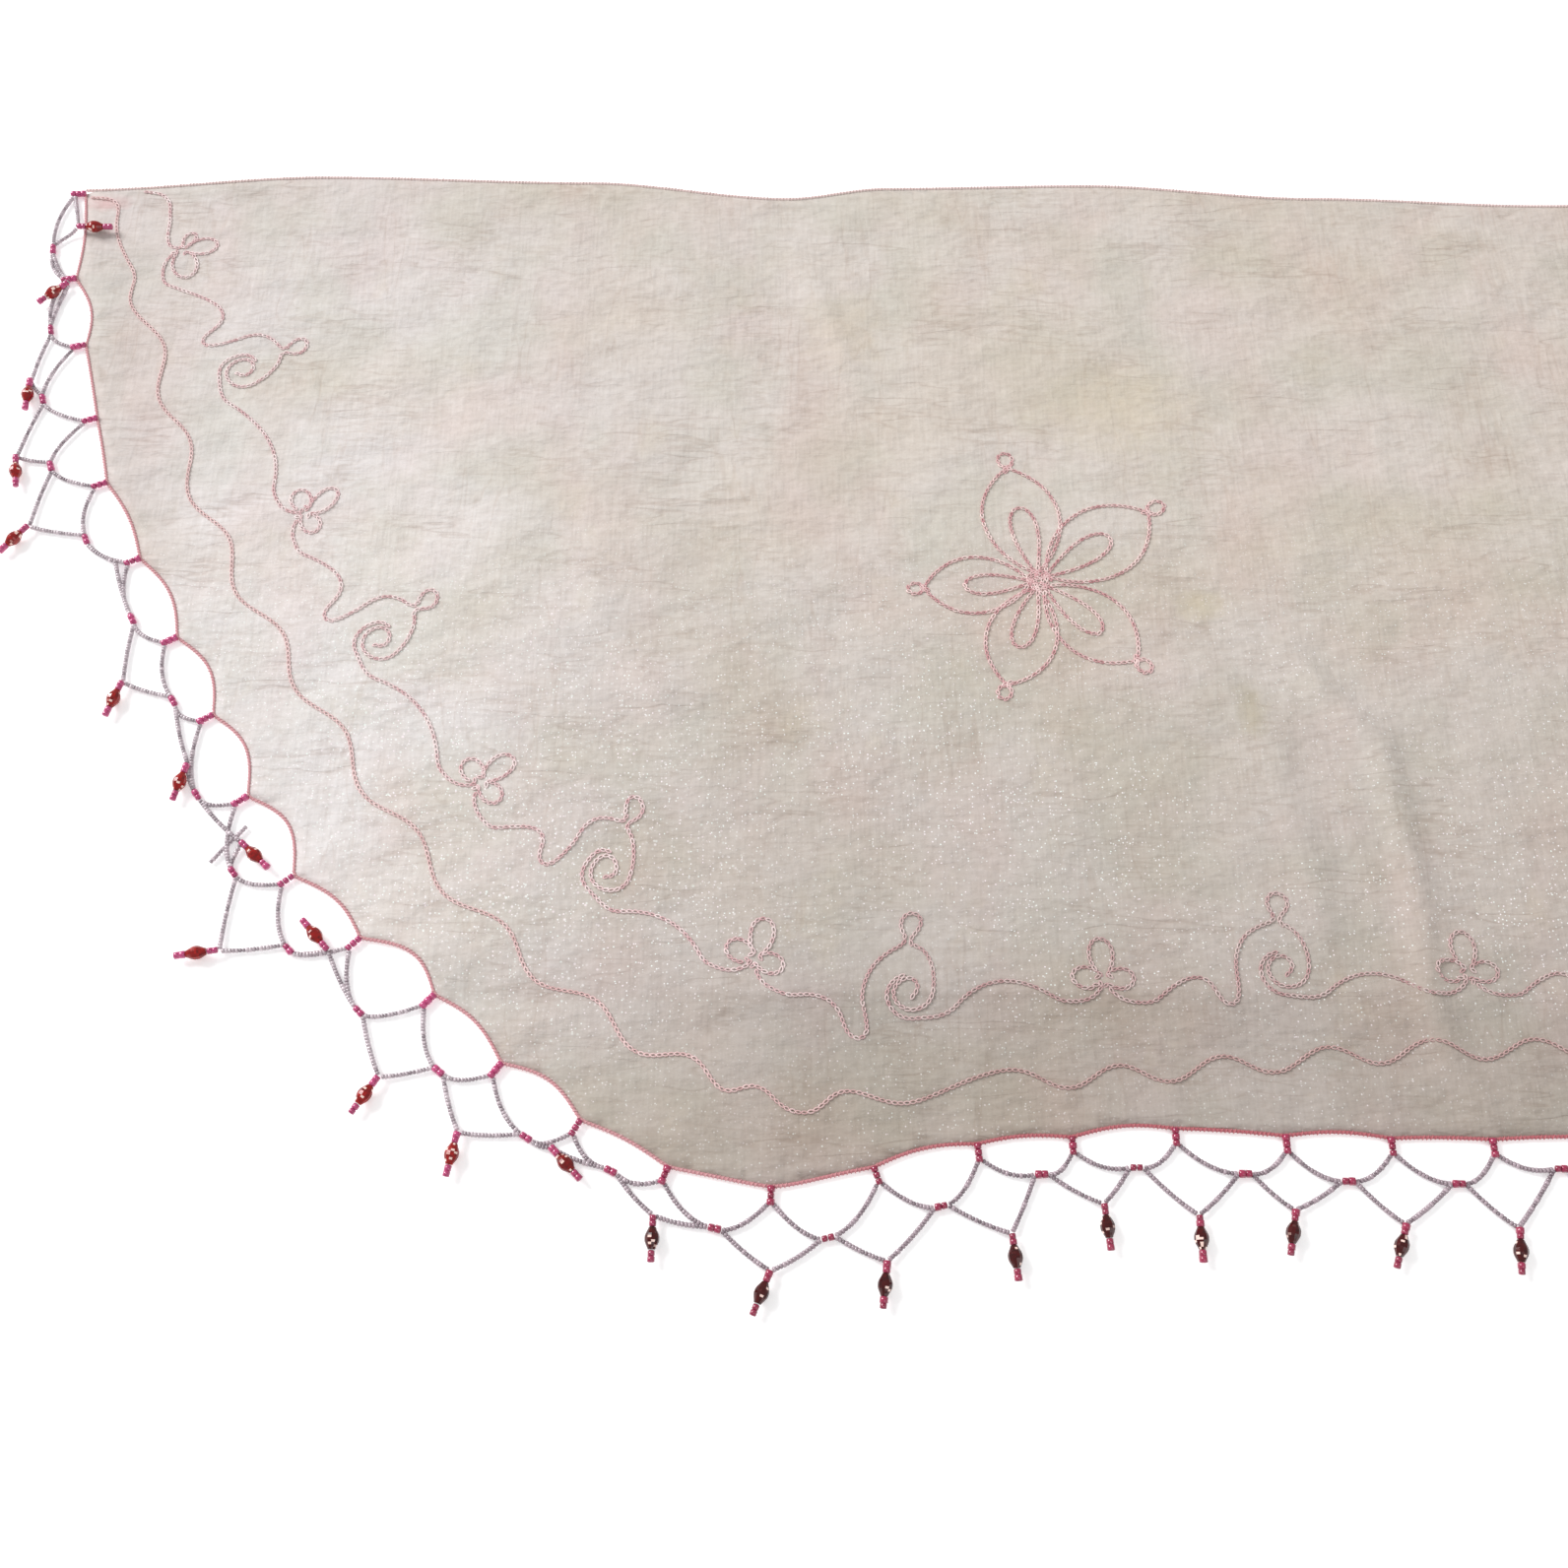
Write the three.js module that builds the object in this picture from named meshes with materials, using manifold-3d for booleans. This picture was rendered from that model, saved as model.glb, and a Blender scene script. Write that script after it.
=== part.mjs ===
// A sheer scarf laid flat, with a rolled hem all round and a net of beaded strings along its curved edge.
// The straight edge runs along X, the net lies toward -Y and the cloth rests on Z = 0. Sizes are in mm.
import * as THREE from "three";
import Module from "manifold-3d";

const wasm = await Module();
wasm.setup();

// Cut of the cloth
const END_CENTRE_X = 404;
const END_HALF_WIDTH = 370;
const STRAIGHT_DEPTH = 506.5;
const CORNER_DIP = 20.5;
const CORNER_DIP_WIDTH = 50;
const END_ROUNDNESS = 1.6;
const CLOTH_THICKNESS = 1;
const SEAM_GAP = 0.3;

// Slow wave of the straight edge, the same on both halves
const TOP_WAVE = [
  { fromMiddle: 0, rise: -11 },
  { fromMiddle: 120, rise: -6 },
  { fromMiddle: 240, rise: 3 },
  { fromMiddle: 346, rise: 1 },
  { fromMiddle: 398, rise: -6 },
  { fromMiddle: 503, rise: 5 },
  { fromMiddle: 645, rise: 9 },
  { fromMiddle: 775, rise: 0 },
];

// Rolled hem
const HEM_WIDTH = 2.4;
const HEM_HEIGHT = 1.9;
const HEM_BASE = 0.3;
const HEM_SET_IN = 2.5;
const SCALLOP_STEPS = 4;

// Folds of the cloth, each a low ridge along its crest
const FOLD_SINK = 0.4;
const FOLDS = [
  { width: 20, height: 1.3, crest: [[-168, -270], [-159, -293], [-132, -328], [-127, -390], [-129, -443], [-121, -484]] },
  { width: 26, height: 0.9, crest: [[-452, -446], [-330, -442], [-200, -444], [0, -446], [200, -444], [330, -442], [452, -446]] },
  { width: 22, height: 1.1, crest: [[-392, -32], [-386, -60], [-372, -100], [-359, -140]] },
  { width: 24, height: 1.0, crest: [[-497, -225], [-484, -262], [-460, -300], [-440, -334]] },
];

// Strings and drops of the net
const STRING_RADIUS = 1.1;
const STRING_HEIGHT = 1.45;
const STRING_SIDES = 4;
const HEM_STRING_BOW = 3;
const HEM_STRING_STEPS = 3;
const TIP_STRING_BOW = 1;
const TIP_STRING_STEPS = 2;
const JOINT_HEIGHT = 1.75;
const TIP_HEIGHT = 2.4;
const HEM_BEAD = { radius: 1.9, length: 7.5, root: 2.6, height: 2.05 };
const DROP_SIDES = 6;
const DROP_HEIGHT = 3.6;
const DROP_ON_CLOTH = 5;
const DROP_PROFILE = [[0, -0.6], [1.7, 0.2], [1.7, 5], [3.2, 9.2], [1.9, 13.4], [1.9, 18.6], [0, 19.6]];

// One row for each place where the net meets the hem, as it lies on the seen half.
// along is the way round the edge from the left corner and out the distance outward from its smooth line.
// hollow is how far the hem is drawn in before the next row, and turn the drop's angle from outward in degrees.
const ROW_KEYS = ["along", "out", "hollow", "jointAlong", "jointOut", "tipAlong", "tipOut", "turn"];
const SEEN_ROWS = [
  [1.5, -1.5, 3, 38, 10, 27, -3, 172],
  [59.5, 0.5, 5.5, 90.5, 12, 63, 1.5, 34],
  [104.5, -2, 0.5, 132.5, 20, 120, 24, 76],
  [152, -1.5, 0.5, 173, 22.5, 162.5, 37, 81],
  [192, 1.5, 3.2, 220, 16, 203, 39, 31],
  [241, -2, 6, 271.5, 9, 238.5, 6.5, NaN],
  [290.5, -3.5, 7.5, 321, 8, 301, 24, 45],
  [337, -2, 8, 369, 19, 354, 15.5, 44],
  [382.5, 3.5, 9.5, 410, 24, 400.5, 14, 100],
  [427.5, 7, 5.4, 453.5, 25, 436, 47.5, -32],
  [470, 2, 8.8, 494.5, 20.5, 465.5, 13, -91],
  [512, -3.5, 4.8, 536.5, 16, 520.5, 33.5, 9],
  [554.5, 0, 6.3, 581.5, 16, 559, 30, 26],
  [596, 1, 2.5, 617, 10.5, 592, 14, 75],
  [637, 2, 1.3, 661.5, 17, 639, 19.5, 20],
  [680, -0.5, 1.5, 698, 20, 680.5, 30, -21],
  [723, 1.5, 1.5, 745.5, 21.5, 715, 35.5, -26],
  [766, 1.5, 1.5, 791, 12.5, 776, 35.5, 2],
  [804.5, 0, 2.7, 829.5, 10, 815, 24.5, 4],
  [846.5, -3.5, 0.5, 873, 12.5, 852.5, 29, -1],
  [891, -0.5, 2, 914, 15.5, 891, 27, -14],
  [933.5, 0.5, 0.5, 958, 16.5, 934, 32.5, -21],
  [974.5, 1, 0.5, 1000, 10.5, 978.5, 34, -8],
];
const PLAIN_START = 1020;
const PLAIN_CELLS = 26;
const PLAIN_HOLLOW = 1.5;
const PLAIN_END_HOLLOW = 5;
const PLAIN_JOINT_OUT = 15;
const PLAIN_TIP_OUT = 30;
const PLAIN_SWING = 9;
const LOOSE_END_ROW = 8;
const LOOSE_END = [[395, 9], [396.5, 15], [398, 22], [400, 29]];

// Lengths that the net is built in, from and to a row
const LENGTHS = [
  { name: "fringe_left_top", from: 0, to: 6 },
  { name: "fringe_left_low", from: 6, to: 12 },
  { name: "fringe_left_corner", from: 12, to: 18 },
  { name: "fringe_bottom_left", from: 18, to: 25 },
  { name: "fringe_bottom_right", from: 25, to: 31 },
  { name: "fringe_right_corner", from: 31, to: 37 },
  { name: "fringe_right_low", from: 37, to: 43 },
  { name: "fringe_right_top", from: 43, to: 49 },
];
const CLEAR_OF_BEAD = 3.1;
const CUT_BACK_HEM = 3.6;
const CUT_BACK_TIP = 4.6;
const SMALLEST_DETAIL = 0.08;

const clothPaint = new THREE.MeshStandardMaterial({ color: 0xd8cdc6, roughness: 0.8 });
const hemPaint = new THREE.MeshStandardMaterial({ color: 0xc98c90, roughness: 0.6 });
const netPaint = new THREE.MeshStandardMaterial({ color: 0xa88fa0, roughness: 0.3 });

// Curved edge of the scarf as a dense line from the left corner to the right one
function curvedEdge() {
  const steps = 1500;
  const half = [];
  for (let i = 0; i <= steps; i += 1) {
    const angle = (i / steps) * Math.PI / 2;
    const across = Math.max(Math.cos(angle), 0) ** (2 / END_ROUNDNESS);
    const down = Math.sin(angle) ** (2 / END_ROUNDNESS);
    half.push([-END_CENTRE_X - END_HALF_WIDTH * across, -(STRAIGHT_DEPTH + CORNER_DIP) * down]);
  }
  for (let i = 1; i <= steps; i += 1) {
    const x = -END_CENTRE_X * (1 - i / steps);
    const dip = CORNER_DIP * Math.exp(-(((x + END_CENTRE_X) / CORNER_DIP_WIDTH) ** 2));
    half.push([x, -(STRAIGHT_DEPTH + dip)]);
  }
  const mirrored = half.slice(0, -1).reverse().map(([x, y]) => [-x, y]);
  return half.concat(mirrored);
}

const EDGE = curvedEdge();
const EDGE_ALONG = [0];
for (let i = 1; i < EDGE.length; i += 1) {
  const step = Math.hypot(EDGE[i][0] - EDGE[i - 1][0], EDGE[i][1] - EDGE[i - 1][1]);
  EDGE_ALONG.push(EDGE_ALONG[i - 1] + step);
}
const EDGE_LENGTH = EDGE_ALONG[EDGE_ALONG.length - 1];

// Place at a way along the edge and a distance out from it, with the outward direction there
function edgePlace(along, out) {
  const reach = 12;
  let low = 0;
  let high = EDGE.length - 1;
  while (high - low > 1) {
    const middle = (low + high) >> 1;
    if (EDGE_ALONG[middle] <= along) low = middle;
    else high = middle;
  }
  const a = EDGE[Math.max(low - reach, 0)];
  const b = EDGE[Math.min(high + reach, EDGE.length - 1)];
  const length = Math.hypot(b[0] - a[0], b[1] - a[1]);
  const tx = (b[0] - a[0]) / length;
  const ty = (b[1] - a[1]) / length;
  const past = along - EDGE_ALONG[low];
  const x = EDGE[low][0] + tx * past + ty * out;
  const y = EDGE[low][1] + ty * past - tx * out;
  return { x, y, heading: Math.atan2(-tx, ty) };
}

// All rows, the seen ones first and then an even run to the right corner
function netRows() {
  const rows = SEEN_ROWS.map((row) => Object.fromEntries(ROW_KEYS.map((key, i) => [key, row[i]])));
  const pitch = (EDGE_LENGTH - 1 - PLAIN_START) / PLAIN_CELLS;
  for (let i = 0; i <= PLAIN_CELLS; i += 1) {
    const along = PLAIN_START + pitch * i;
    const onEnd = edgePlace(along, 0).x > END_CENTRE_X;
    rows.push({
      along,
      out: 0,
      hollow: onEnd ? PLAIN_END_HOLLOW : PLAIN_HOLLOW,
      jointAlong: along + pitch / 2,
      jointOut: PLAIN_JOINT_OUT + 2 * Math.sin(i * 1.7),
      tipAlong: along + 2 * Math.sin(i * 2.3),
      tipOut: PLAIN_TIP_OUT + 2 * Math.cos(i * 1.9),
      turn: PLAIN_SWING * Math.sin(i * 2.3),
    });
  }
  return rows;
}

const ROWS = netRows();

// Distance of the hem's middle from the smooth edge, drawn in between two rows
function hemOut(along) {
  let row = 0;
  while (row < ROWS.length - 2 && ROWS[row + 1].along <= along) row += 1;
  const span = ROWS[row + 1].along - ROWS[row].along;
  const part = THREE.MathUtils.clamp((along - ROWS[row].along) / span, 0, 1);
  const pulled = THREE.MathUtils.lerp(ROWS[row].out, ROWS[row + 1].out, part);
  return pulled - ROWS[row].hollow * Math.sin(Math.PI * part) - HEM_SET_IN;
}

// Stations along the hem from one row to another, a few to each scallop.
// Where one length of the net ends and the next begins, there is one at each side of the gap.
function hemStations(from, to) {
  const stations = [];
  for (let row = from; row < to; row += 1) {
    const meeting = row > 0 && LENGTHS.some((length) => length.from === row);
    const begin = ROWS[row].along;
    if (!meeting || row > from) stations.push(begin);
    if (meeting && row > from) stations.push(begin + CLEAR_OF_BEAD);
    if (meeting) stations.push(begin + CLEAR_OF_BEAD + SEAM_GAP);
    for (let step = 1; step < SCALLOP_STEPS; step += 1) {
      stations.push(THREE.MathUtils.lerp(begin, ROWS[row + 1].along, step / SCALLOP_STEPS));
    }
  }
  stations.push(ROWS[to].along);
  if (to < ROWS.length - 1) stations.push(ROWS[to].along + CLEAR_OF_BEAD);
  return stations;
}

// Height of the straight edge at an X, eased from point to point of its wave
function topEdge(x) {
  const away = Math.abs(x);
  let i = 0;
  while (i < TOP_WAVE.length - 2 && TOP_WAVE[i + 1].fromMiddle < away) i += 1;
  const span = TOP_WAVE[i + 1].fromMiddle - TOP_WAVE[i].fromMiddle;
  const part = THREE.MathUtils.clamp((away - TOP_WAVE[i].fromMiddle) / span, 0, 1);
  const eased = part * part * (3 - 2 * part);
  return THREE.MathUtils.lerp(TOP_WAVE[i].rise, TOP_WAVE[i + 1].rise, eased);
}

// Closed body from rings of points, each ring with the same count, and flat ends
function ringBody(rings) {
  const sides = rings[0].length;
  const points = rings.flat(2);
  const faces = [];
  for (let i = 0; i + 1 < rings.length; i += 1) {
    for (let k = 0; k < sides; k += 1) {
      const a = i * sides + k;
      const b = i * sides + ((k + 1) % sides);
      faces.push(a, b, b + sides, a, b + sides, a + sides);
    }
  }
  const last = (rings.length - 1) * sides;
  for (let k = 1; k + 1 < sides; k += 1) {
    faces.push(0, k + 1, k, last, last + k, last + k + 1);
  }
  return closedSolid(points, faces);
}

// Manifold solid from points and faces, turned right side out
function closedSolid(points, faces) {
  let solid = new wasm.Manifold(new wasm.Mesh({
    numProp: 3,
    vertProperties: new Float32Array(points),
    triVerts: new Uint32Array(faces),
  }));
  if (solid.volume() < 0) {
    const turned = [];
    for (let i = 0; i < faces.length; i += 3) turned.push(faces[i], faces[i + 2], faces[i + 1]);
    solid = new wasm.Manifold(new wasm.Mesh({
      numProp: 3,
      vertProperties: new Float32Array(points),
      triVerts: new Uint32Array(turned),
    }));
  }
  return solid;
}

// Named mesh from a solid
function meshOf(solid, name, paint) {
  const made = solid.getMesh();
  const geometry = new THREE.BufferGeometry();
  const count = made.vertProperties.length / made.numProp;
  const points = new Float32Array(count * 3);
  for (let i = 0; i < count; i += 1) {
    for (let k = 0; k < 3; k += 1) points[i * 3 + k] = made.vertProperties[i * made.numProp + k];
  }
  geometry.setAttribute("position", new THREE.BufferAttribute(points, 3));
  geometry.setIndex(new THREE.BufferAttribute(new Uint32Array(made.triVerts), 1));
  geometry.computeVertexNormals();
  const mesh = new THREE.Mesh(geometry, paint);
  mesh.name = name;
  return mesh;
}

// Round body along a line of points, with a ring of a few sides at each
function roundAlong(line, radius, sides) {
  const rings = line.map((point, i) => {
    const before = line[Math.max(i - 1, 0)];
    const after = line[Math.min(i + 1, line.length - 1)];
    const heading = Math.atan2(after[1] - before[1], after[0] - before[0]);
    const ring = [];
    for (let k = 0; k < sides; k += 1) {
      const angle = (2 * Math.PI * (k + 0.5)) / sides;
      const side = radius * Math.SQRT2 * Math.cos(angle);
      const up = radius * Math.SQRT2 * Math.sin(angle);
      ring.push([point[0] - Math.sin(heading) * side, point[1] + Math.cos(heading) * side, point[2] + up]);
    }
    return ring;
  });
  return ringBody(rings);
}

// Bead or drop lying level, turned round its own length from [radius, way along] pairs
function levelTurned(place, heading, height, profile, sides) {
  const rings = profile.slice(1, -1).map(([radius, way]) => {
    const ring = [];
    for (let k = 0; k < sides; k += 1) {
      const angle = (2 * Math.PI * (k + 0.5)) / sides;
      const side = radius * Math.cos(angle);
      const x = place.x + Math.cos(heading) * way - Math.sin(heading) * side;
      const y = place.y + Math.sin(heading) * way + Math.cos(heading) * side;
      ring.push([x, y, height + radius * Math.sin(angle)]);
    }
    return ring;
  });
  const points = rings.flat(2);
  const faces = [];
  const last = (rings.length - 1) * sides;
  const start = rings.length * sides;
  const first = profile[0][1];
  const end = profile[profile.length - 1][1];
  points.push(place.x + Math.cos(heading) * first, place.y + Math.sin(heading) * first, height);
  points.push(place.x + Math.cos(heading) * end, place.y + Math.sin(heading) * end, height);
  for (let k = 0; k < sides; k += 1) {
    const next = (k + 1) % sides;
    for (let i = 0; i + 1 < rings.length; i += 1) {
      const a = i * sides + k;
      const b = i * sides + next;
      faces.push(a, b, b + sides, a, b + sides, a + sides);
    }
    faces.push(start, next, k, start + 1, last + k, last + next);
  }
  return closedSolid(points, faces);
}

// Points of a string between two ends, bowed outward and resting low between them, without its last point
function bowedRun(from, to, bow, steps) {
  const outX = Math.cos(from.heading) + Math.cos(to.heading);
  const outY = Math.sin(from.heading) + Math.sin(to.heading);
  const spread = Math.hypot(outX, outY);
  const points = [[from.x, from.y, from.z]];
  for (let i = 1; i < steps; i += 1) {
    const t = i / steps;
    const swell = (4 * t * (1 - t) * bow) / spread;
    const x = THREE.MathUtils.lerp(from.x, to.x, t) + outX * swell;
    const y = THREE.MathUtils.lerp(from.y, to.y, t) + outY * swell;
    points.push([x, y, Math.min(STRING_HEIGHT, from.z, to.z)]);
  }
  return points;
}

// One string through all its ends in turn
function netString(ends, bow, steps) {
  const line = [];
  for (let i = 0; i + 1 < ends.length; i += 1) {
    line.push(...bowedRun(ends[i], ends[i + 1], bow, steps));
  }
  const last = ends[ends.length - 1];
  line.push([last.x, last.y, last.z]);
  return roundAlong(line, STRING_RADIUS, STRING_SIDES);
}

// The same end moved toward another by a length
function cutBack(end, toward, length) {
  const share = length / Math.hypot(toward.x - end.x, toward.y - end.y);
  return {
    x: THREE.MathUtils.lerp(end.x, toward.x, share),
    y: THREE.MathUtils.lerp(end.y, toward.y, share),
    z: STRING_HEIGHT,
    heading: end.heading,
  };
}

// Ends that a string ties to: the hem, the joint with the other string and the tip with its drop
function hemEnd(row) {
  return { ...edgePlace(row.along, row.out + 3.2), z: STRING_HEIGHT };
}

function jointEnd(row, z) {
  return { ...edgePlace(row.jointAlong, row.jointOut), z };
}

function tipEnd(row, z) {
  return { ...edgePlace(row.tipAlong, row.tipOut), z };
}

// Hem bead of a row, pointing out from the hem
function hemBead(row) {
  const place = edgePlace(row.along, row.out - HEM_BEAD.root);
  const outer = edgePlace(row.along, row.out + HEM_BEAD.length - HEM_BEAD.root);
  const line = [[place.x, place.y, HEM_BEAD.height], [outer.x, outer.y, HEM_BEAD.height]];
  return roundAlong(line, HEM_BEAD.radius * Math.SQRT1_2, STRING_SIDES);
}

// Drop of a row, a faceted bead between two small ones
function drop(row, height) {
  const place = edgePlace(row.tipAlong, row.tipOut);
  const heading = place.heading + THREE.MathUtils.degToRad(row.turn);
  return levelTurned(place, heading, height, DROP_PROFILE, DROP_SIDES);
}

// Rolled hem along stations of the curved edge
function hemStrip(stations) {
  const middle = HEM_BASE + HEM_HEIGHT / 2;
  const rings = stations.map((along) => {
    const centre = hemOut(along);
    const inner = edgePlace(along, centre - HEM_WIDTH / 2);
    const outer = edgePlace(along, centre + HEM_WIDTH / 2);
    const core = edgePlace(along, centre);
    return [
      [inner.x, inner.y, middle],
      [core.x, core.y, HEM_BASE],
      [outer.x, outer.y, middle],
      [core.x, core.y, HEM_BASE + HEM_HEIGHT],
    ];
  });
  return ringBody(rings);
}

// One length of the net with its part of the hem, joined into one body
function fringeLength({ name, from, to }) {
  const bodies = [hemStrip(hemStations(from, to))];
  const first = ROWS[from];
  const atCorner = from === 0;
  const atLastCorner = to === ROWS.length - 1;
  const firstJoint = jointEnd(first, STRING_HEIGHT);
  const hemEnds = [atCorner ? hemEnd(first) : cutBack(hemEnd(first), firstJoint, CUT_BACK_HEM)];
  const tipEnds = atCorner
    ? [hemEnd(first), tipEnd(first, DROP_ON_CLOTH)]
    : [cutBack(tipEnd(first, STRING_HEIGHT), firstJoint, CUT_BACK_TIP)];
  for (let i = from; i < to; i += 1) {
    hemEnds.push(jointEnd(ROWS[i], STRING_HEIGHT), hemEnd(ROWS[i + 1]));
    tipEnds.push(jointEnd(ROWS[i], JOINT_HEIGHT), tipEnd(ROWS[i + 1], TIP_HEIGHT));
    if (Number.isFinite(ROWS[i + 1].turn) && i + 1 < ROWS.length - 1) {
      bodies.push(drop(ROWS[i + 1], DROP_HEIGHT));
    }
    bodies.push(hemBead(ROWS[i + 1]));
  }
  if (atCorner) bodies.push(hemBead(first), drop(first, DROP_ON_CLOTH));
  if (atLastCorner) tipEnds.pop();
  bodies.push(netString(hemEnds, HEM_STRING_BOW, HEM_STRING_STEPS));
  bodies.push(netString(tipEnds, TIP_STRING_BOW, TIP_STRING_STEPS));
  if (from < LOOSE_END_ROW && to > LOOSE_END_ROW) {
    const line = LOOSE_END.map(([along, out]) => {
      const place = edgePlace(along, out);
      return [place.x, place.y, STRING_HEIGHT];
    });
    bodies.push(roundAlong(line, STRING_RADIUS, STRING_SIDES));
  }
  return meshOf(wasm.Manifold.union(bodies).simplify(SMALLEST_DETAIL), name, netPaint);
}

// Outline of the cloth, inside the hem by the seam gap
function clothOutline() {
  const setIn = HEM_WIDTH / 2 + SEAM_GAP;
  const outline = [];
  for (const along of hemStations(0, ROWS.length - 1)) {
    const place = edgePlace(along, hemOut(along) - setIn);
    if (place.y < topEdge(place.x) - 3) outline.push([place.x, place.y]);
  }
  const topSteps = 48;
  const left = outline[0][0];
  const right = outline[outline.length - 1][0];
  for (let i = 0; i <= topSteps; i += 1) {
    const x = THREE.MathUtils.lerp(right, left, i / topSteps);
    outline.push([x, topEdge(x)]);
  }
  return outline;
}

// Low ridge along the crest of a fold, sunk a little into the cloth and dying out at both ends
function foldRidge({ width, height, crest }) {
  const rings = crest.map(([x, y], i) => {
    const before = crest[Math.max(i - 1, 0)];
    const after = crest[Math.min(i + 1, crest.length - 1)];
    const heading = Math.atan2(after[1] - before[1], after[0] - before[0]);
    const atEnd = i === 0 || i === crest.length - 1;
    const rise = atEnd ? 0.05 : height;
    const half = (atEnd ? 0.4 : 1) * width / 2;
    const base = CLOTH_THICKNESS - FOLD_SINK;
    return [
      [x - Math.sin(heading) * half, y + Math.cos(heading) * half, base],
      [x, y, CLOTH_THICKNESS + rise],
      [x + Math.sin(heading) * half, y - Math.cos(heading) * half, base],
    ];
  });
  return ringBody(rings);
}

// Cloth panel with its largest folds
function clothPanel() {
  const outline = clothOutline();
  const count = outline.length;
  const flat = outline.map(([x, y]) => new THREE.Vector2(x, y));
  const triangles = THREE.ShapeUtils.triangulateShape(flat, []);
  const points = [];
  for (const [x, y] of outline) points.push(x, y, 0);
  for (const [x, y] of outline) points.push(x, y, CLOTH_THICKNESS);
  const faces = [];
  for (const [a, b, c] of triangles) {
    faces.push(a, c, b, a + count, b + count, c + count);
  }
  for (let i = 0; i < count; i += 1) {
    const j = (i + 1) % count;
    faces.push(i, j, j + count, i, j + count, i + count);
  }
  const sheet = closedSolid(points, faces);
  return meshOf(wasm.Manifold.union([sheet, ...FOLDS.map(foldRidge)]), "cloth_panel", clothPaint);
}

// Rolled hem along the straight edge, from corner to corner
function topHem() {
  const outline = clothOutline();
  const top = outline.slice(-49);
  const middle = HEM_BASE + HEM_HEIGHT / 2;
  const off = SEAM_GAP + HEM_WIDTH / 2;
  const rings = top.map(([x, y]) => [
    [x, y + off - HEM_WIDTH / 2, middle],
    [x, y + off, HEM_BASE],
    [x, y + off + HEM_WIDTH / 2, middle],
    [x, y + off, HEM_BASE + HEM_HEIGHT],
  ]);
  return meshOf(ringBody(rings), "hem_top", hemPaint);
}

// Whole scarf, moved so that the middle of its box stands over the origin
const scarf = new THREE.Group();
scarf.name = "fringed_scarf";
scarf.add(clothPanel(), topHem(), ...LENGTHS.map(fringeLength));
const box = new THREE.Box3().setFromObject(scarf);
const centre = box.getCenter(new THREE.Vector3());
for (const mesh of scarf.children) {
  mesh.geometry.translate(-centre.x, -centre.y, -box.min.z);
}

export default scarf;
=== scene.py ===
# %% [markdown]
# # A sheer scarf with a beaded net fringe
# The scarf lies flat with its embroidered face up. It is one long piece of crinkled chiffon with
# rounded ends, a rolled hem all round, two rows of chain stitch, two flowers and a net of seed
# beads along the curved edge. Everything is in metres, with Z up and the floor at Z = 0.

import math

import bpy
import numpy as np
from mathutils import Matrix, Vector, geometry, kdtree


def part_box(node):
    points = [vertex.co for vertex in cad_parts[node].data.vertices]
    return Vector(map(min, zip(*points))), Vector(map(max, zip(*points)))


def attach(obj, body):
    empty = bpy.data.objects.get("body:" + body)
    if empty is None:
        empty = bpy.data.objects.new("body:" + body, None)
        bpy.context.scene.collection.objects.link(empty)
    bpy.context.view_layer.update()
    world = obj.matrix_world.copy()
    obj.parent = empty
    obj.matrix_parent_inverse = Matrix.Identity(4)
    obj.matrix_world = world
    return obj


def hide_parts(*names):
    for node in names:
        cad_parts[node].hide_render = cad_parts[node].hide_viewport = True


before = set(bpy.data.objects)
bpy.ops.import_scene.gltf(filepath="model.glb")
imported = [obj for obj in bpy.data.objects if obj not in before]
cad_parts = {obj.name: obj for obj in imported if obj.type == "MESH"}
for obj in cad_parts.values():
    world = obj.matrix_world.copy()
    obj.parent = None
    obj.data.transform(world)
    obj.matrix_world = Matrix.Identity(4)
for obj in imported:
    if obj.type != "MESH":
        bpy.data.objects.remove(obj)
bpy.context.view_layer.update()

# %% [markdown]
# ## Camera and light
# The scarf was photographed from above its left half, a little in front of it and tilted 25 degrees
# from straight down. A white room and two wide lamps give a plain studio look, and a small lamp
# near the camera puts a glint on each bead. Hard light would draw shadows that cloth as thin as
# this doesn't show. The Standard view keeps pale colours as picked, where a filmic one greys them.

# %% Camera
IMAGE_PIXELS = 1592
FOCAL_PIXELS = 1723
CAMERA_TILT = math.radians(25)
CAMERA_PLACE = (-0.4171, -0.3833, 0.685)

camera_data = bpy.data.cameras.new("camera")
camera_data.sensor_width = 36
camera_data.lens = FOCAL_PIXELS / IMAGE_PIXELS * camera_data.sensor_width
camera = bpy.data.objects.new("camera", camera_data)
camera.location = CAMERA_PLACE
camera.rotation_euler = (CAMERA_TILT, 0, 0)
bpy.context.collection.objects.link(camera)
bpy.context.scene.camera = camera
bpy.context.scene.view_settings.view_transform = "Standard"
print("lens", round(camera_data.lens, 2), "mm")


# %% Light
def wide_lamp(name, place, aim, size, power):
    lamp = bpy.data.lights.new(name, "AREA")
    lamp.shape, lamp.size, lamp.energy = "DISK", size, power
    lamp_object = bpy.data.objects.new(name, lamp)
    lamp_object.location = place
    lamp_object.rotation_euler = (Vector(aim) - Vector(place)).to_track_quat("-Z", "Y").to_euler()
    bpy.context.collection.objects.link(lamp_object)


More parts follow.
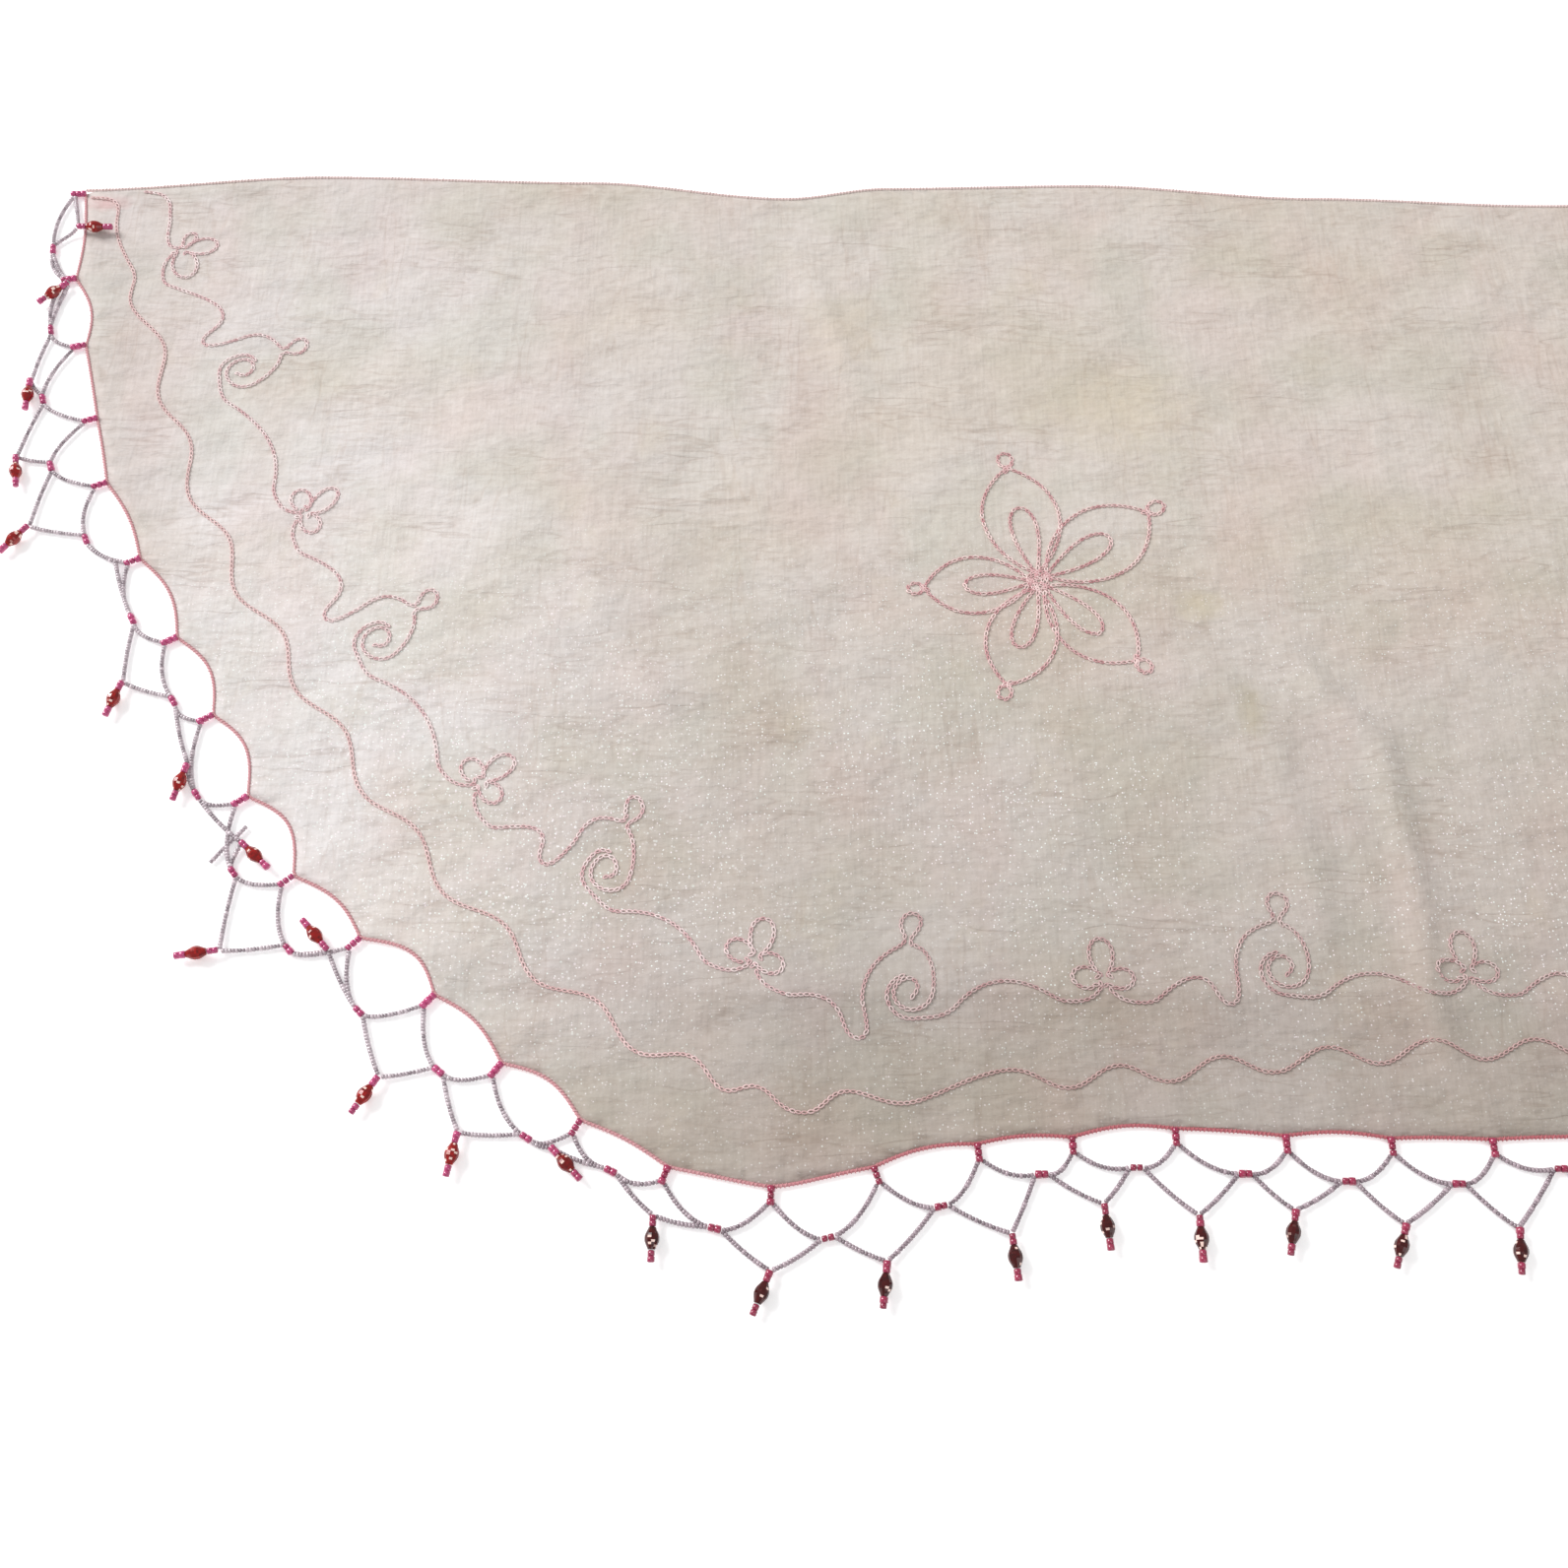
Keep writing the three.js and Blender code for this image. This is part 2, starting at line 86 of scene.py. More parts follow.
wide_lamp("key_lamp", (-4.3, 2.6, 3.3), (-0.3, 0, 0), 3.0, 292)
wide_lamp("fill_lamp", (0.9, -1.4, 1.9), (-0.1, 0, 0), 1.6, 9)
wide_lamp("glint_lamp", (-0.45, -0.6, 1.2), (-0.4, 0, 0), 0.14, 0.9)
room = bpy.data.worlds.new("studio_room")
bpy.context.scene.world = room
room.use_nodes = True
room.node_tree.nodes["Background"].inputs["Color"].default_value = (1, 1, 1, 1)
room.node_tree.nodes["Background"].inputs["Strength"].default_value = 0.5
print("three lamps in a white room")

# %% [markdown]
# ## Helpers for finishes
# Every finish is a node tree round one shader. Colours are written as hex values, so one
# function turns them into the linear values that Blender works in. Another adds any node, with its
# settings and its links, so that a finish reads like a short list.


# %% Colour and node helpers
def linear(hex_colour):
    values = [int(hex_colour[i : i + 2], 16) / 255 for i in (1, 3, 5)]
    return (*(v / 12.92 if v <= 0.04045 else ((v + 0.055) / 1.055) ** 2.4 for v in values), 1)


def add_node(tree, kind, settings=None, inputs=None):
    node = tree.nodes.new(kind)
    for key, value in (settings or {}).items():
        setattr(node, key, value)
    for key, value in (inputs or {}).items():
        if isinstance(value, bpy.types.NodeSocket):
            tree.links.new(value, node.inputs[key])
        else:
            node.inputs[key].default_value = value
    return node


def new_finish(name, sockets):
    finish = bpy.data.materials.new(name)
    finish.use_nodes = True
    shader = finish.node_tree.nodes["Principled BSDF"]
    for key, value in sockets.items():
        shader.inputs[key].default_value = value
    return finish, finish.node_tree, shader


def spread(tree, value, low, high, out_low=0.0, out_high=1.0):
    inputs = {0: value, 1: low, 2: high, 3: out_low, 4: out_high}
    return add_node(tree, "ShaderNodeMapRange", {}, inputs).outputs[0]


def calculated(tree, how, *values, **settings):
    """Result of one sum, such as MULTIPLY, on up to three values."""
    inputs = dict(enumerate(values))
    return add_node(tree, "ShaderNodeMath", {"operation": how, **settings}, inputs).outputs[0]


def product(tree, value, *others):
    for other in others:
        value = calculated(tree, "MULTIPLY", value, other)
    return value


def blended(tree, share, first, second, how="MIX"):
    settings = {"data_type": "RGBA", "blend_type": how}
    return add_node(tree, "ShaderNodeMix", settings, {0: share, 6: first, 7: second}).outputs[2]


def darkened(tree, share, tone, hex_colour):
    return blended(tree, share, tone, blended(tree, 1.0, tone, linear(hex_colour), "MULTIPLY"))


def stretched(tree, size, turn=0.0):
    """Object coordinates in cells of a size in metres, turned round Z."""
    place = add_node(tree, "ShaderNodeTexCoord").outputs["Object"]
    inputs = {0: place, 2: (0, 0, turn), 3: [1 / s for s in size]}
    return add_node(tree, "ShaderNodeMapping", {}, inputs).outputs[0]


def place_x(tree):
    """Place along the scarf, in metres, from the left end at -0.8 to the right end at 0.8."""
    return add_node(tree, "ShaderNodeSeparateXYZ", {}, {0: stretched(tree, (1, 1, 1))}).outputs[0]


def noise(tree, vector, detail=2.0, roughness=0.5):
    inputs = {"Vector": vector, "Scale": 1.0, "Detail": detail, "Roughness": roughness}
    return add_node(tree, "ShaderNodeTexNoise", {}, inputs).outputs[0]


def bumped(tree, shader, height, strength, depth):
    inputs = {"Height": height, "Strength": strength, "Distance": depth}
    tree.links.new(add_node(tree, "ShaderNodeBump", {}, inputs).outputs[0], shader.inputs["Normal"])


# %% [markdown]
# ## The cut of the cloth
# The curved edge is half of a soft rectangle at each end and nearly straight between. One smooth
# line carries everything that follows the edge, so a place is given as the way along it from the
# left corner and the distance outward. The net pulls the hem out where it is sewn on, and the hem
# hangs in shallow hollows between those places.

# %% Sizes of the cut, in millimetres
MM = 0.001
END_CENTRE_X = 404
END_HALF_WIDTH = 370
STRAIGHT_DEPTH = 506.5
CORNER_DIP = 20.5
CORNER_DIP_WIDTH = 50
END_ROUNDNESS = 1.6
SEAM_GAP = 0.3
HEM_WIDTH = 2.4
HEM_SET_IN = 2.5
HEM_MIDDLE = 1.25
TOP_WAVE_FROM_MIDDLE = [0, 120, 240, 346, 398, 503, 645, 775]
TOP_WAVE_RISE = [-11, -6, 3, 1, -6, 5, 9, 0]

# %% Places where the net is sewn on, as it lies on the seen half
ROW_KEYS = ("along", "out", "hollow", "joint_along", "joint_out", "tip_along", "tip_out", "turn")
NO_DROP = None
SEEN_ROWS = [
    (1.5, -1.5, 3, 38, 10, 27, -3, 172),
    (59.5, 0.5, 5.5, 90.5, 12, 63, 1.5, 34),
    (104.5, -2, 0.5, 132.5, 20, 120, 24, 76),
    (152, -1.5, 0.5, 173, 22.5, 162.5, 37, 81),
    (192, 1.5, 3.2, 220, 16, 203, 39, 31),
    (241, -2, 6, 271.5, 9, 238.5, 6.5, NO_DROP),
    (290.5, -3.5, 7.5, 321, 8, 301, 24, 45),
    (337, -2, 8, 369, 19, 354, 15.5, 44),
    (382.5, 3.5, 9.5, 410, 24, 400.5, 14, 100),
    (427.5, 7, 5.4, 453.5, 25, 436, 47.5, -32),
    (470, 2, 8.8, 494.5, 20.5, 465.5, 13, -91),
    (512, -3.5, 4.8, 536.5, 16, 520.5, 33.5, 9),
    (554.5, 0, 6.3, 581.5, 16, 559, 30, 26),
    (596, 1, 2.5, 617, 10.5, 592, 14, 75),
    (637, 2, 1.3, 661.5, 17, 639, 19.5, 20),
    (680, -0.5, 1.5, 698, 20, 680.5, 30, -21),
    (723, 1.5, 1.5, 745.5, 21.5, 715, 35.5, -26),
    (766, 1.5, 1.5, 791, 12.5, 776, 35.5, 2),
    (804.5, 0, 2.7, 829.5, 10, 815, 24.5, 4),
    (846.5, -3.5, 0.5, 873, 12.5, 852.5, 29, -1),
    (891, -0.5, 2, 914, 15.5, 891, 27, -14),
    (933.5, 0.5, 0.5, 958, 16.5, 934, 32.5, -21),
    (974.5, 1, 0.5, 1000, 10.5, 978.5, 34, -8),
]
PLAIN_START, PLAIN_CELLS = 1020, 26
PLAIN_JOINT_OUT, PLAIN_TIP_OUT = 15, 30
PLAIN_SWAY, PLAIN_TURN = 2, 9
PLAIN_HOLLOW, END_HOLLOW = 1.5, 5
LOOSE_END = [(395, 9), (396.5, 15), (398, 22), (400, 29)]
LOOSE_ROW = 8


# %% The smooth edge line
def curved_edge(steps=1500):
    angle = np.linspace(0, math.pi / 2, steps + 1)
    across = np.maximum(np.cos(angle), 0) ** (2 / END_ROUNDNESS)
    down = np.sin(angle) ** (2 / END_ROUNDNESS)
    end_x = -END_CENTRE_X - END_HALF_WIDTH * across
    end = np.stack([end_x, -(STRAIGHT_DEPTH + CORNER_DIP) * down], 1)
    x = -END_CENTRE_X * (1 - np.arange(1, steps + 1) / steps)
    dip = CORNER_DIP * np.exp(-(((x + END_CENTRE_X) / CORNER_DIP_WIDTH) ** 2))
    half = np.concatenate([end, np.stack([x, -(STRAIGHT_DEPTH + dip)], 1)])
    return np.concatenate([half, half[-2::-1] * (-1, 1)])


EDGE = curved_edge()
EDGE_ALONG = np.concatenate([[0], np.cumsum(np.hypot(*np.diff(EDGE, axis=0).T))])
EDGE_LENGTH = EDGE_ALONG[-1]


def edge_frame(along):
    """Place on the smooth edge, direction along it and direction outward."""
    along = np.atleast_1d(np.asarray(along, float))
    low = np.clip(np.searchsorted(EDGE_ALONG, along, side="right") - 1, 0, len(EDGE) - 2)
    ahead, behind = EDGE[np.minimum(low + 13, len(EDGE) - 1)], EDGE[np.maximum(low - 12, 0)]
    forward = (ahead - behind) / np.hypot(*(ahead - behind).T)[:, None]
    outward = np.stack([forward[:, 1], -forward[:, 0]], 1)
    return EDGE[low] + forward * (along - EDGE_ALONG[low])[:, None], forward, outward


def edge_place(along, out):
    spot, _, outward = edge_frame(along)
    return spot + outward * np.atleast_1d(np.asarray(out, float))[:, None]


print("curved edge", round(EDGE_LENGTH), "mm long")


# %% Rows of the net, and the hem between them
def net_rows():
    rows = [dict(zip(ROW_KEYS, row)) for row in SEEN_ROWS]
    pitch = (EDGE_LENGTH - 1 - PLAIN_START) / PLAIN_CELLS
    for i in range(PLAIN_CELLS + 1):
        along = PLAIN_START + pitch * i
        hollow = END_HOLLOW if edge_place(along, 0)[0][0] > END_CENTRE_X else PLAIN_HOLLOW
        joint = (along + pitch / 2, PLAIN_JOINT_OUT + PLAIN_SWAY * math.sin(i * 1.7))
        aside, outward = math.sin(i * 2.3), math.cos(i * 1.9)
        tip = (along + PLAIN_SWAY * aside, PLAIN_TIP_OUT + PLAIN_SWAY * outward, PLAIN_TURN * aside)
        rows.append(dict(zip(ROW_KEYS, (along, 0, hollow, *joint, *tip))))
    return rows


ROWS = net_rows()
ROW_ALONG, ROW_OUT, ROW_HOLLOW = (np.array([row[key] for row in ROWS], float) for key in ROW_KEYS[:3])


def hem_out(along):
    row = np.clip(np.searchsorted(ROW_ALONG, along, side="right") - 1, 0, len(ROWS) - 2)
    part = np.clip((along - ROW_ALONG[row]) / (ROW_ALONG[row + 1] - ROW_ALONG[row]), 0, 1)
    pulled = ROW_OUT[row] * (1 - part) + ROW_OUT[row + 1] * part
    return pulled - ROW_HOLLOW[row] * np.sin(np.pi * part) - HEM_SET_IN


def top_edge(x):
    away, points, rise = np.abs(x), np.array(TOP_WAVE_FROM_MIDDLE), np.array(TOP_WAVE_RISE)
    i = np.clip(np.searchsorted(points, away, side="right") - 1, 0, len(points) - 2)
    part = np.clip((away - points[i]) / (points[i + 1] - points[i]), 0, 1)
    return rise[i] + (rise[i + 1] - rise[i]) * part * part * (3 - 2 * part)


hem_along = np.linspace(ROW_ALONG[0], ROW_ALONG[-1], 1100)
HEM_LINE = edge_place(hem_along, hem_out(hem_along))
HEM_LINE = HEM_LINE[HEM_LINE[:, 1] < top_edge(HEM_LINE[:, 0]) + 0.5]
top_x = np.linspace(HEM_LINE[-1][0], HEM_LINE[0][0], 520)
TOP_LINE = np.stack([top_x, top_edge(top_x) + SEAM_GAP + HEM_WIDTH / 2], 1)
print(len(ROWS), "places where the net is sewn on")

# %% [markdown]
# The CAD part is centred on its own box, so this drawing is moved by the same amount. The box of
# the cloth node says how much it is: its edges are compared with those of the drawn cloth.

# %% From the drawing to the part
cloth_low, cloth_high = (np.array(corner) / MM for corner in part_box("cloth_panel"))
quarters = [np.linspace(a, b, 5) for a, b in zip(ROW_ALONG, ROW_ALONG[1:])]
stations = np.concatenate(quarters)
drawn = edge_place(stations, hem_out(stations) - HEM_WIDTH / 2 - SEAM_GAP)
drawn = drawn[drawn[:, 1] < top_edge(drawn[:, 0]) - 3]
SHIFT = np.array([(cloth_low + cloth_high)[0] - drawn[:, 0].min() - drawn[:, 0].max(), 0]) / 2
SHIFT[1] = cloth_low[1] - drawn[:, 1].min()
print("shift", SHIFT.round(2), "mm")


def lifted(points, height):
    """Points of the drawing with a height, all in millimetres, as metres in the part's frame."""
    points = np.asarray(points, float).reshape(-1, 2)
    height = np.broadcast_to(np.asarray(height, float), len(points))
    return np.column_stack([points + SHIFT, height]) * MM


# %% [markdown]
# ## The chiffon
# Chiffon is a thin weave of hard-twisted yarn, which crinkles as it relaxes. A simulation would only
# smooth that away, so the cloth is one sheet of small triangles, raised by a few listed folds and
# by soft ridges that run along the cloth, as the twist of the yarn leaves them.

# %% Folds and crinkles
FOLDS = [
    (22, 3.1, [(-168, -270), (-159, -293), (-132, -328), (-127, -390), (-129, -443), (-121, -484)]),
    (26, 0.9, [(-452, -446), (-330, -442), (-200, -444), (0, -446), (200, -444), (330, -442), (452, -446)]),
    (22, 1.4, [(-392, -32), (-386, -60), (-372, -100), (-359, -140)]),
    (24, 1.3, [(-497, -225), (-484, -262), (-460, -300), (-440, -334)]),
    (32, 2.0, [(-236, -286), (-205, -292), (-182, -322), (-172, -380), (-168, -440)]),
]
FOLD_FADE = 30
CLOTH_TOP = 1.0
CLOTH_THICKNESS = 0.35
LOWEST_TOP = 0.45
FINE_RISE, BROAD_RISE, CROSS_RISE, SWELL_RISE = 0.22, 0.22, 0.1, 0.3
HEM_EASE = 6


def soft_field(cell_x, cell_y, seed):
    """Smooth random heights from -1 to 1, in cells of a size in millimetres."""
    columns, rows = int(2000 / cell_x) + 2, int(900 / cell_y) + 2
    grid = np.random.default_rng(seed).uniform(-1, 1, (columns + 1, rows + 1))

    def field(x, y):
        u = np.clip((x + 1000) / cell_x, 0, columns - 0.001)
        v = np.clip((y + 700) / cell_y, 0, rows - 0.001)
        i, j = u.astype(int), v.astype(int)
        u, v = u - i, v - j
        u, v = u * u * (3 - 2 * u), v * v * (3 - 2 * v)
        near = grid[i, j] * (1 - v) + grid[i, j + 1] * v
        return near * (1 - u) + (grid[i + 1, j] * (1 - v) + grid[i + 1, j + 1] * v) * u

    return field


def fold_height(points):
    height = np.zeros(len(points))
    for width, rise, crest in FOLDS:
        crest = np.array(crest, float)
        runs = np.hypot(*np.diff(crest, axis=0).T)
        starts = np.concatenate([[0], np.cumsum(runs)])
        nearest, way = np.full(len(points), 1e9), np.zeros(len(points))
        for a, b, start, run in zip(crest, crest[1:], starts, runs):
            t = np.clip((points - a) @ (b - a) / run**2, 0, 1)
            away = np.hypot(*(points - a - t[:, None] * (b - a)).T)
            way = np.where(away < nearest, start + t * run, way)
            nearest = np.minimum(nearest, away)
        fade = np.clip(np.minimum(way, starts[-1] - way) / FOLD_FADE, 0, 1)
        slope = np.clip(1 - nearest / (width / 2), 0, 1)
        height = np.maximum(height, rise * fade * slope**2 * (3 - 2 * slope))
    return height


meander, swell = soft_field(90, 60, 1), soft_field(110, 80, 2)
fine_crinkle, broad_crinkle = soft_field(24, 7, 3), soft_field(60, 16, 4)
cross_crinkle = soft_field(13, 50, 5)
hem_tree = kdtree.KDTree(len(HEM_LINE) + len(TOP_LINE))
for index, (x, y) in enumerate(np.concatenate([HEM_LINE, TOP_LINE])):
    hem_tree.insert((x, y, 0), index)
hem_tree.balance()


PUCKER_RISE, PUCKER_WIDTH, PUCKER_LENGTH, PUCKER_IN = 1.1, 4.0, 13.0, 12.0
_, pucker_forward, _ = edge_frame(ROW_ALONG)
pucker_spots = edge_place(ROW_ALONG, ROW_OUT - PUCKER_IN)


def pucker_height(points):
    """Short ridges that run in from the places where the net is sewn on."""
    height = np.zeros(len(points))
    for spot, forward in zip(pucker_spots, pucker_forward):
        offset = points - spot
        across = offset @ forward
        inward = offset @ (-forward[1], forward[0])
        height += PUCKER_RISE * np.exp(-((across / PUCKER_WIDTH) ** 2) - (inward / PUCKER_LENGTH) ** 2)
    return height


def cloth_height(points):
    """Height of the top of the cloth, in millimetres."""
    x, y = points[:, 0], points[:, 1]
    wander = y + 7 * meander(x, y)
    relief = FINE_RISE * fine_crinkle(x, wander) + BROAD_RISE * broad_crinkle(x, wander)
    relief += CROSS_RISE * cross_crinkle(x + 5 * meander(y, x), y) + SWELL_RISE * swell(x, y)
    relief += fold_height(points) + pucker_height(points)
    height = np.maximum(CLOTH_TOP + relief, LOWEST_TOP)
    from_hem = np.array([hem_tree.find((px, py, 0))[2] for px, py in points])
    near_hem = np.exp(-from_hem / HEM_EASE)
    return height * (1 - near_hem) + (HEM_MIDDLE + CLOTH_THICKNESS / 2) * near_hem


# %% Mesh of the cloth
CELL = 5.0
outline = np.concatenate([HEM_LINE[::2], TOP_LINE[1:-1:2]])


def inside_outline(points, edge):
    inside = np.zeros(len(points), bool)
    for (ax, ay), (bx, by) in zip(edge, np.roll(edge, -1, axis=0)):
        crossing = (ay > points[:, 1]) != (by > points[:, 1])
        if ay != by:
            inside ^= crossing & (points[:, 0] < (bx - ax) * (points[:, 1] - ay) / (by - ay) + ax)
    return inside


def triangle_grid(low, high, cell):
    rows = np.arange(low[1], high[1], cell * math.sqrt(3) / 2)
    columns = np.arange(low[0], high[0], cell)
    x, y = np.meshgrid(columns, rows)
    x = x + np.where(np.arange(len(rows)) % 2, cell / 2, 0)[:, None]
    return np.stack([x.ravel(), y.ravel()], 1)


grid_points = triangle_grid(outline.min(0), outline.max(0), CELL)
grid_points = grid_points[inside_outline(grid_points, outline)]
clear = np.array([hem_tree.find((x, y, 0))[2] > CELL * 0.55 for x, y in grid_points])
flat_points = np.concatenate([outline, grid_points[clear]])
rim = [(i, (i + 1) % len(outline)) for i in range(len(outline))]
flat_vectors = [Vector(p) for p in flat_points]
flat_vectors, _, triangles, *_ = geometry.delaunay_2d_cdt(flat_vectors, rim, [], 1, 1e-4)
flat_points = np.array(flat_vectors)
triangles = np.array(triangles)
print(len(flat_points), "points in the cloth,", len(triangles), "triangles on its face")


# %% Thin closed shell
def mesh_object(name, points, faces, smooth=True):
    mesh = bpy.data.meshes.new(name)
    mesh.from_pydata([tuple(p) for p in points], [], [tuple(f) for f in faces])
    mesh.polygons.foreach_set("use_smooth", [smooth] * len(mesh.polygons))
    mesh.update()
    made = bpy.data.objects.new(name, mesh)
    bpy.context.collection.objects.link(made)
    return made


a, b, c = (flat_points[triangles[:, k]] for k in range(3))
turned = (b - a)[:, 0] * (c - a)[:, 1] - (b - a)[:, 1] * (c - a)[:, 0]
triangles[turned < 0] = triangles[turned < 0][:, ::-1]
top_z = cloth_height(flat_points)
count = len(flat_points)
sides = np.concatenate([triangles[:, [0, 1]], triangles[:, [1, 2]], triangles[:, [2, 0]]])
known = {tuple(side) for side in sides.tolist()}
border = [(i, j) for i, j in known if (j, i) not in known]
walls = [(j, i, i + count, j + count) for i, j in border]
levels = (top_z, top_z - CLOTH_THICKNESS)
shell_points = np.concatenate([lifted(flat_points, height) for height in levels])
shell_faces = triangles.tolist() + (triangles[:, ::-1] + count).tolist() + walls
chiffon = mesh_object("chiffon", shell_points, shell_faces)

# %% [markdown]
# ### Finish of the chiffon
# The real stuff is polyester chiffon, piece-dyed a very pale pink and yellowed a little with age.
# The eye sees a matt, slightly see-through cloth, fine creases that run along it, faint threads
# across them and a soft sheen at the crests. All of it comes from noise in stretched cells. The
# shade in the creases, in the crinkle and under the long crease, and the glints, are painted into
# the colour.

# %% Polyester chiffon
sockets = {"Roughness": 0.78, "Specular IOR Level": 0.3, "Alpha": 0.93}
sockets |= {"Sheen Weight": 0.25, "Sheen Roughness": 0.45}
chiffon_finish, tree, shader = new_finish("polyester_chiffon", sockets)
place = add_node(tree, "ShaderNodeSeparateXYZ", {}, {0: stretched(tree, (1, 1, 1))})
across, up = place.outputs[0], place.outputs[1]

# Slow change of tone: pinker at the left, creamier at the right, paler in a belt near the left
# end and darker toward the curved edge
tone = blended(tree, spread(tree, across, -0.72, -0.35), linear("#DAD2CF"), linear("#DBD3CC"))
tone = blended(tree, spread(tree, across, -0.35, 0.02), tone, linear("#DAD0C8"))
belt_in, belt_out = spread(tree, across, -0.73, -0.69), spread(tree, across, -0.49, -0.58, 0.0, 0.9)
belt = product(tree, belt_in, belt_out, spread(tree, up, 0.30, 0.06))
tone = blended(tree, belt, tone, linear("#E9E4E3"))
lower = product(tree, spread(tree, up, 0.08, -0.14), spread(tree, across, -0.62, -0.4))
tone = darkened(tree, lower, tone, "#E8E7E7")

# Mottled patches of 60 to 120 mm, some rosy, some toward green and some toward cream
MOTTLES = [
    ((0.12, 0.09, 1), 0.0, 0.45, 0.65, "#FBF8F3"),
    ((0.07, 0.06, 1), 0.5, 0.45, 0.62, "#F7F9F5"),
    ((0.05, 0.08, 1), 1.1, 0.48, 0.66, "#FFFAFA"),
]
for cell, turn, low, high, hex_colour in MOTTLES:
    patches = noise(tree, stretched(tree, cell, turn), 3)
    tone = darkened(tree, spread(tree, patches, low, high), tone, hex_colour)

# The band below the long crease is painted darker, as painted shade, with a softer edge where the
# crease fades out at both ends. A soft painted shade runs along the upper side of the crease.
step, slope = spread(tree, up, -0.160, -0.163), spread(tree, up, -0.135, -0.180)
band_shade = blended(tree, spread(tree, across, -0.27, -0.13), step, slope)
band_shade = blended(tree, spread(tree, across, -0.40, -0.52), band_shade, spread(tree, up, -0.155, -0.255))
tone = darkened(tree, band_shade, tone, "#EFEDEC")
shade_low, shade_high = spread(tree, up, -0.167, -0.161), spread(tree, up, -0.138, -0.160)
shade = product(tree, shade_low, shade_high, spread(tree, across, -0.17, -0.24))
tone = darkened(tree, shade, tone, "#F6F4F4")

# Crinkle of 3 to 6 mm, a little longer along the cloth than across it
crinkle = noise(tree, stretched(tree, (0.0062, 0.003, 1)), 2.0, 0.6)
threads = noise(tree, stretched(tree, (0.0018, 0.014, 1)), 1)
weave_and_shade = calculated(tree, "MULTIPLY_ADD", threads, 0.4, crinkle)
# The crinkle's hollows are painted a little darker, as painted shade; the same values dent the bump.
tone = darkened(tree, spread(tree, weave_and_shade, 0.9, 0.5), tone, "#F4F2F0")


# Sparse thin creases, long ones along the cloth and shorter ones across it, painted as thin
# lines of shade. The long ones also dent the bump.
def thin_lines(cell, turn, width, where_cell):
    """Lines where a stretched noise crosses its middle value, in some places only."""
    value = noise(tree, stretched(tree, cell, turn), 2, 0.5)
    away = calculated(tree, "ABSOLUTE", calculated(tree, "SUBTRACT", value, 0.5))
    where = spread(tree, noise(tree, stretched(tree, where_cell), 2), 0.48, 0.64)
    return product(tree, spread(tree, away, width, 0.0), where)


long_creases = thin_lines((0.05, 0.009, 1), 0.05, 0.035, (0.055, 0.02, 1))
fine_creases = thin_lines((0.028, 0.005, 1), 0.02, 0.05, (0.05, 0.03, 1))
cross_creases = thin_lines((0.01, 0.06, 1), -0.08, 0.03, (0.03, 0.07, 1))
# Painted shade along the creases
tone = darkened(tree, long_creases, tone, "#F1EDEB")
tone = darkened(tree, fine_creases, tone, "#F4F1EF")
tone = darkened(tree, cross_creases, tone, "#F7F4F2")

# Soft crumples of about 30 mm, too shallow for the mesh
crumples = noise(tree, stretched(tree, (0.04, 0.026, 1)), 3, 0.5)
relief = calculated(tree, "MULTIPLY_ADD", crumples, 9.0, weave_and_shade)
relief = calculated(tree, "MULTIPLY_ADD", long_creases, -0.25, relief)

# Faint yellow stains where the cloth has aged
stains = spread(tree, noise(tree, stretched(tree, (0.035, 0.05, 1)), 4, 0.6), 0.60, 0.78, 0.0, 0.3)
tone = blended(tree, stains, tone, linear("#D0C4AC"))


# A few spots with a place of their own: four stains, and the pink cast of the stitched corner
def marked(tree, tone, spot, size, hex_colour, share):
    """A soft uneven spot of another colour, its place and size in millimetres."""
    place = add_node(tree, "ShaderNodeTexCoord").outputs["Object"]
    middle = (*((np.array(spot) + SHIFT) * MM), 0)
    offset = add_node(tree, "ShaderNodeVectorMath", {"operation": "SUBTRACT"}, {0: place, 1: middle})
    inputs = {0: offset.outputs[0], 1: (1 / (size[0] * MM), 1 / (size[1] * MM), 0)}
    scaled = add_node(tree, "ShaderNodeVectorMath", {"operation": "MULTIPLY"}, inputs)
    reach = add_node(tree, "ShaderNodeVectorMath", {"operation": "LENGTH"}, {0: scaled.outputs[0]})
    ragged = noise(tree, stretched(tree, (0.006, 0.006, 1)), 2)
    uneven = calculated(tree, "MULTIPLY_ADD", ragged, 0.9, reach.outputs["Value"])
    return blended(tree, spread(tree, uneven, 1.4, 0.5, 0.0, share), tone, linear(hex_colour))


SPOTS = [
    ((-188, -309), (9, 19), "#B5A88C", 0.5),
    ((-206, -254), (15, 11), "#C9BC98", 0.4),
    ((-232, -143), (48, 36), "#D6C9AC", 0.35),
    ((-370, -91), (24, 32), "#D2C0A6", 0.3),
    ((-758, -7), (17, 7), "#DDA9A9", 0.5),
]
for spot, size, hex_colour, share in SPOTS:
    tone = marked(tree, tone, spot, size, hex_colour, share)
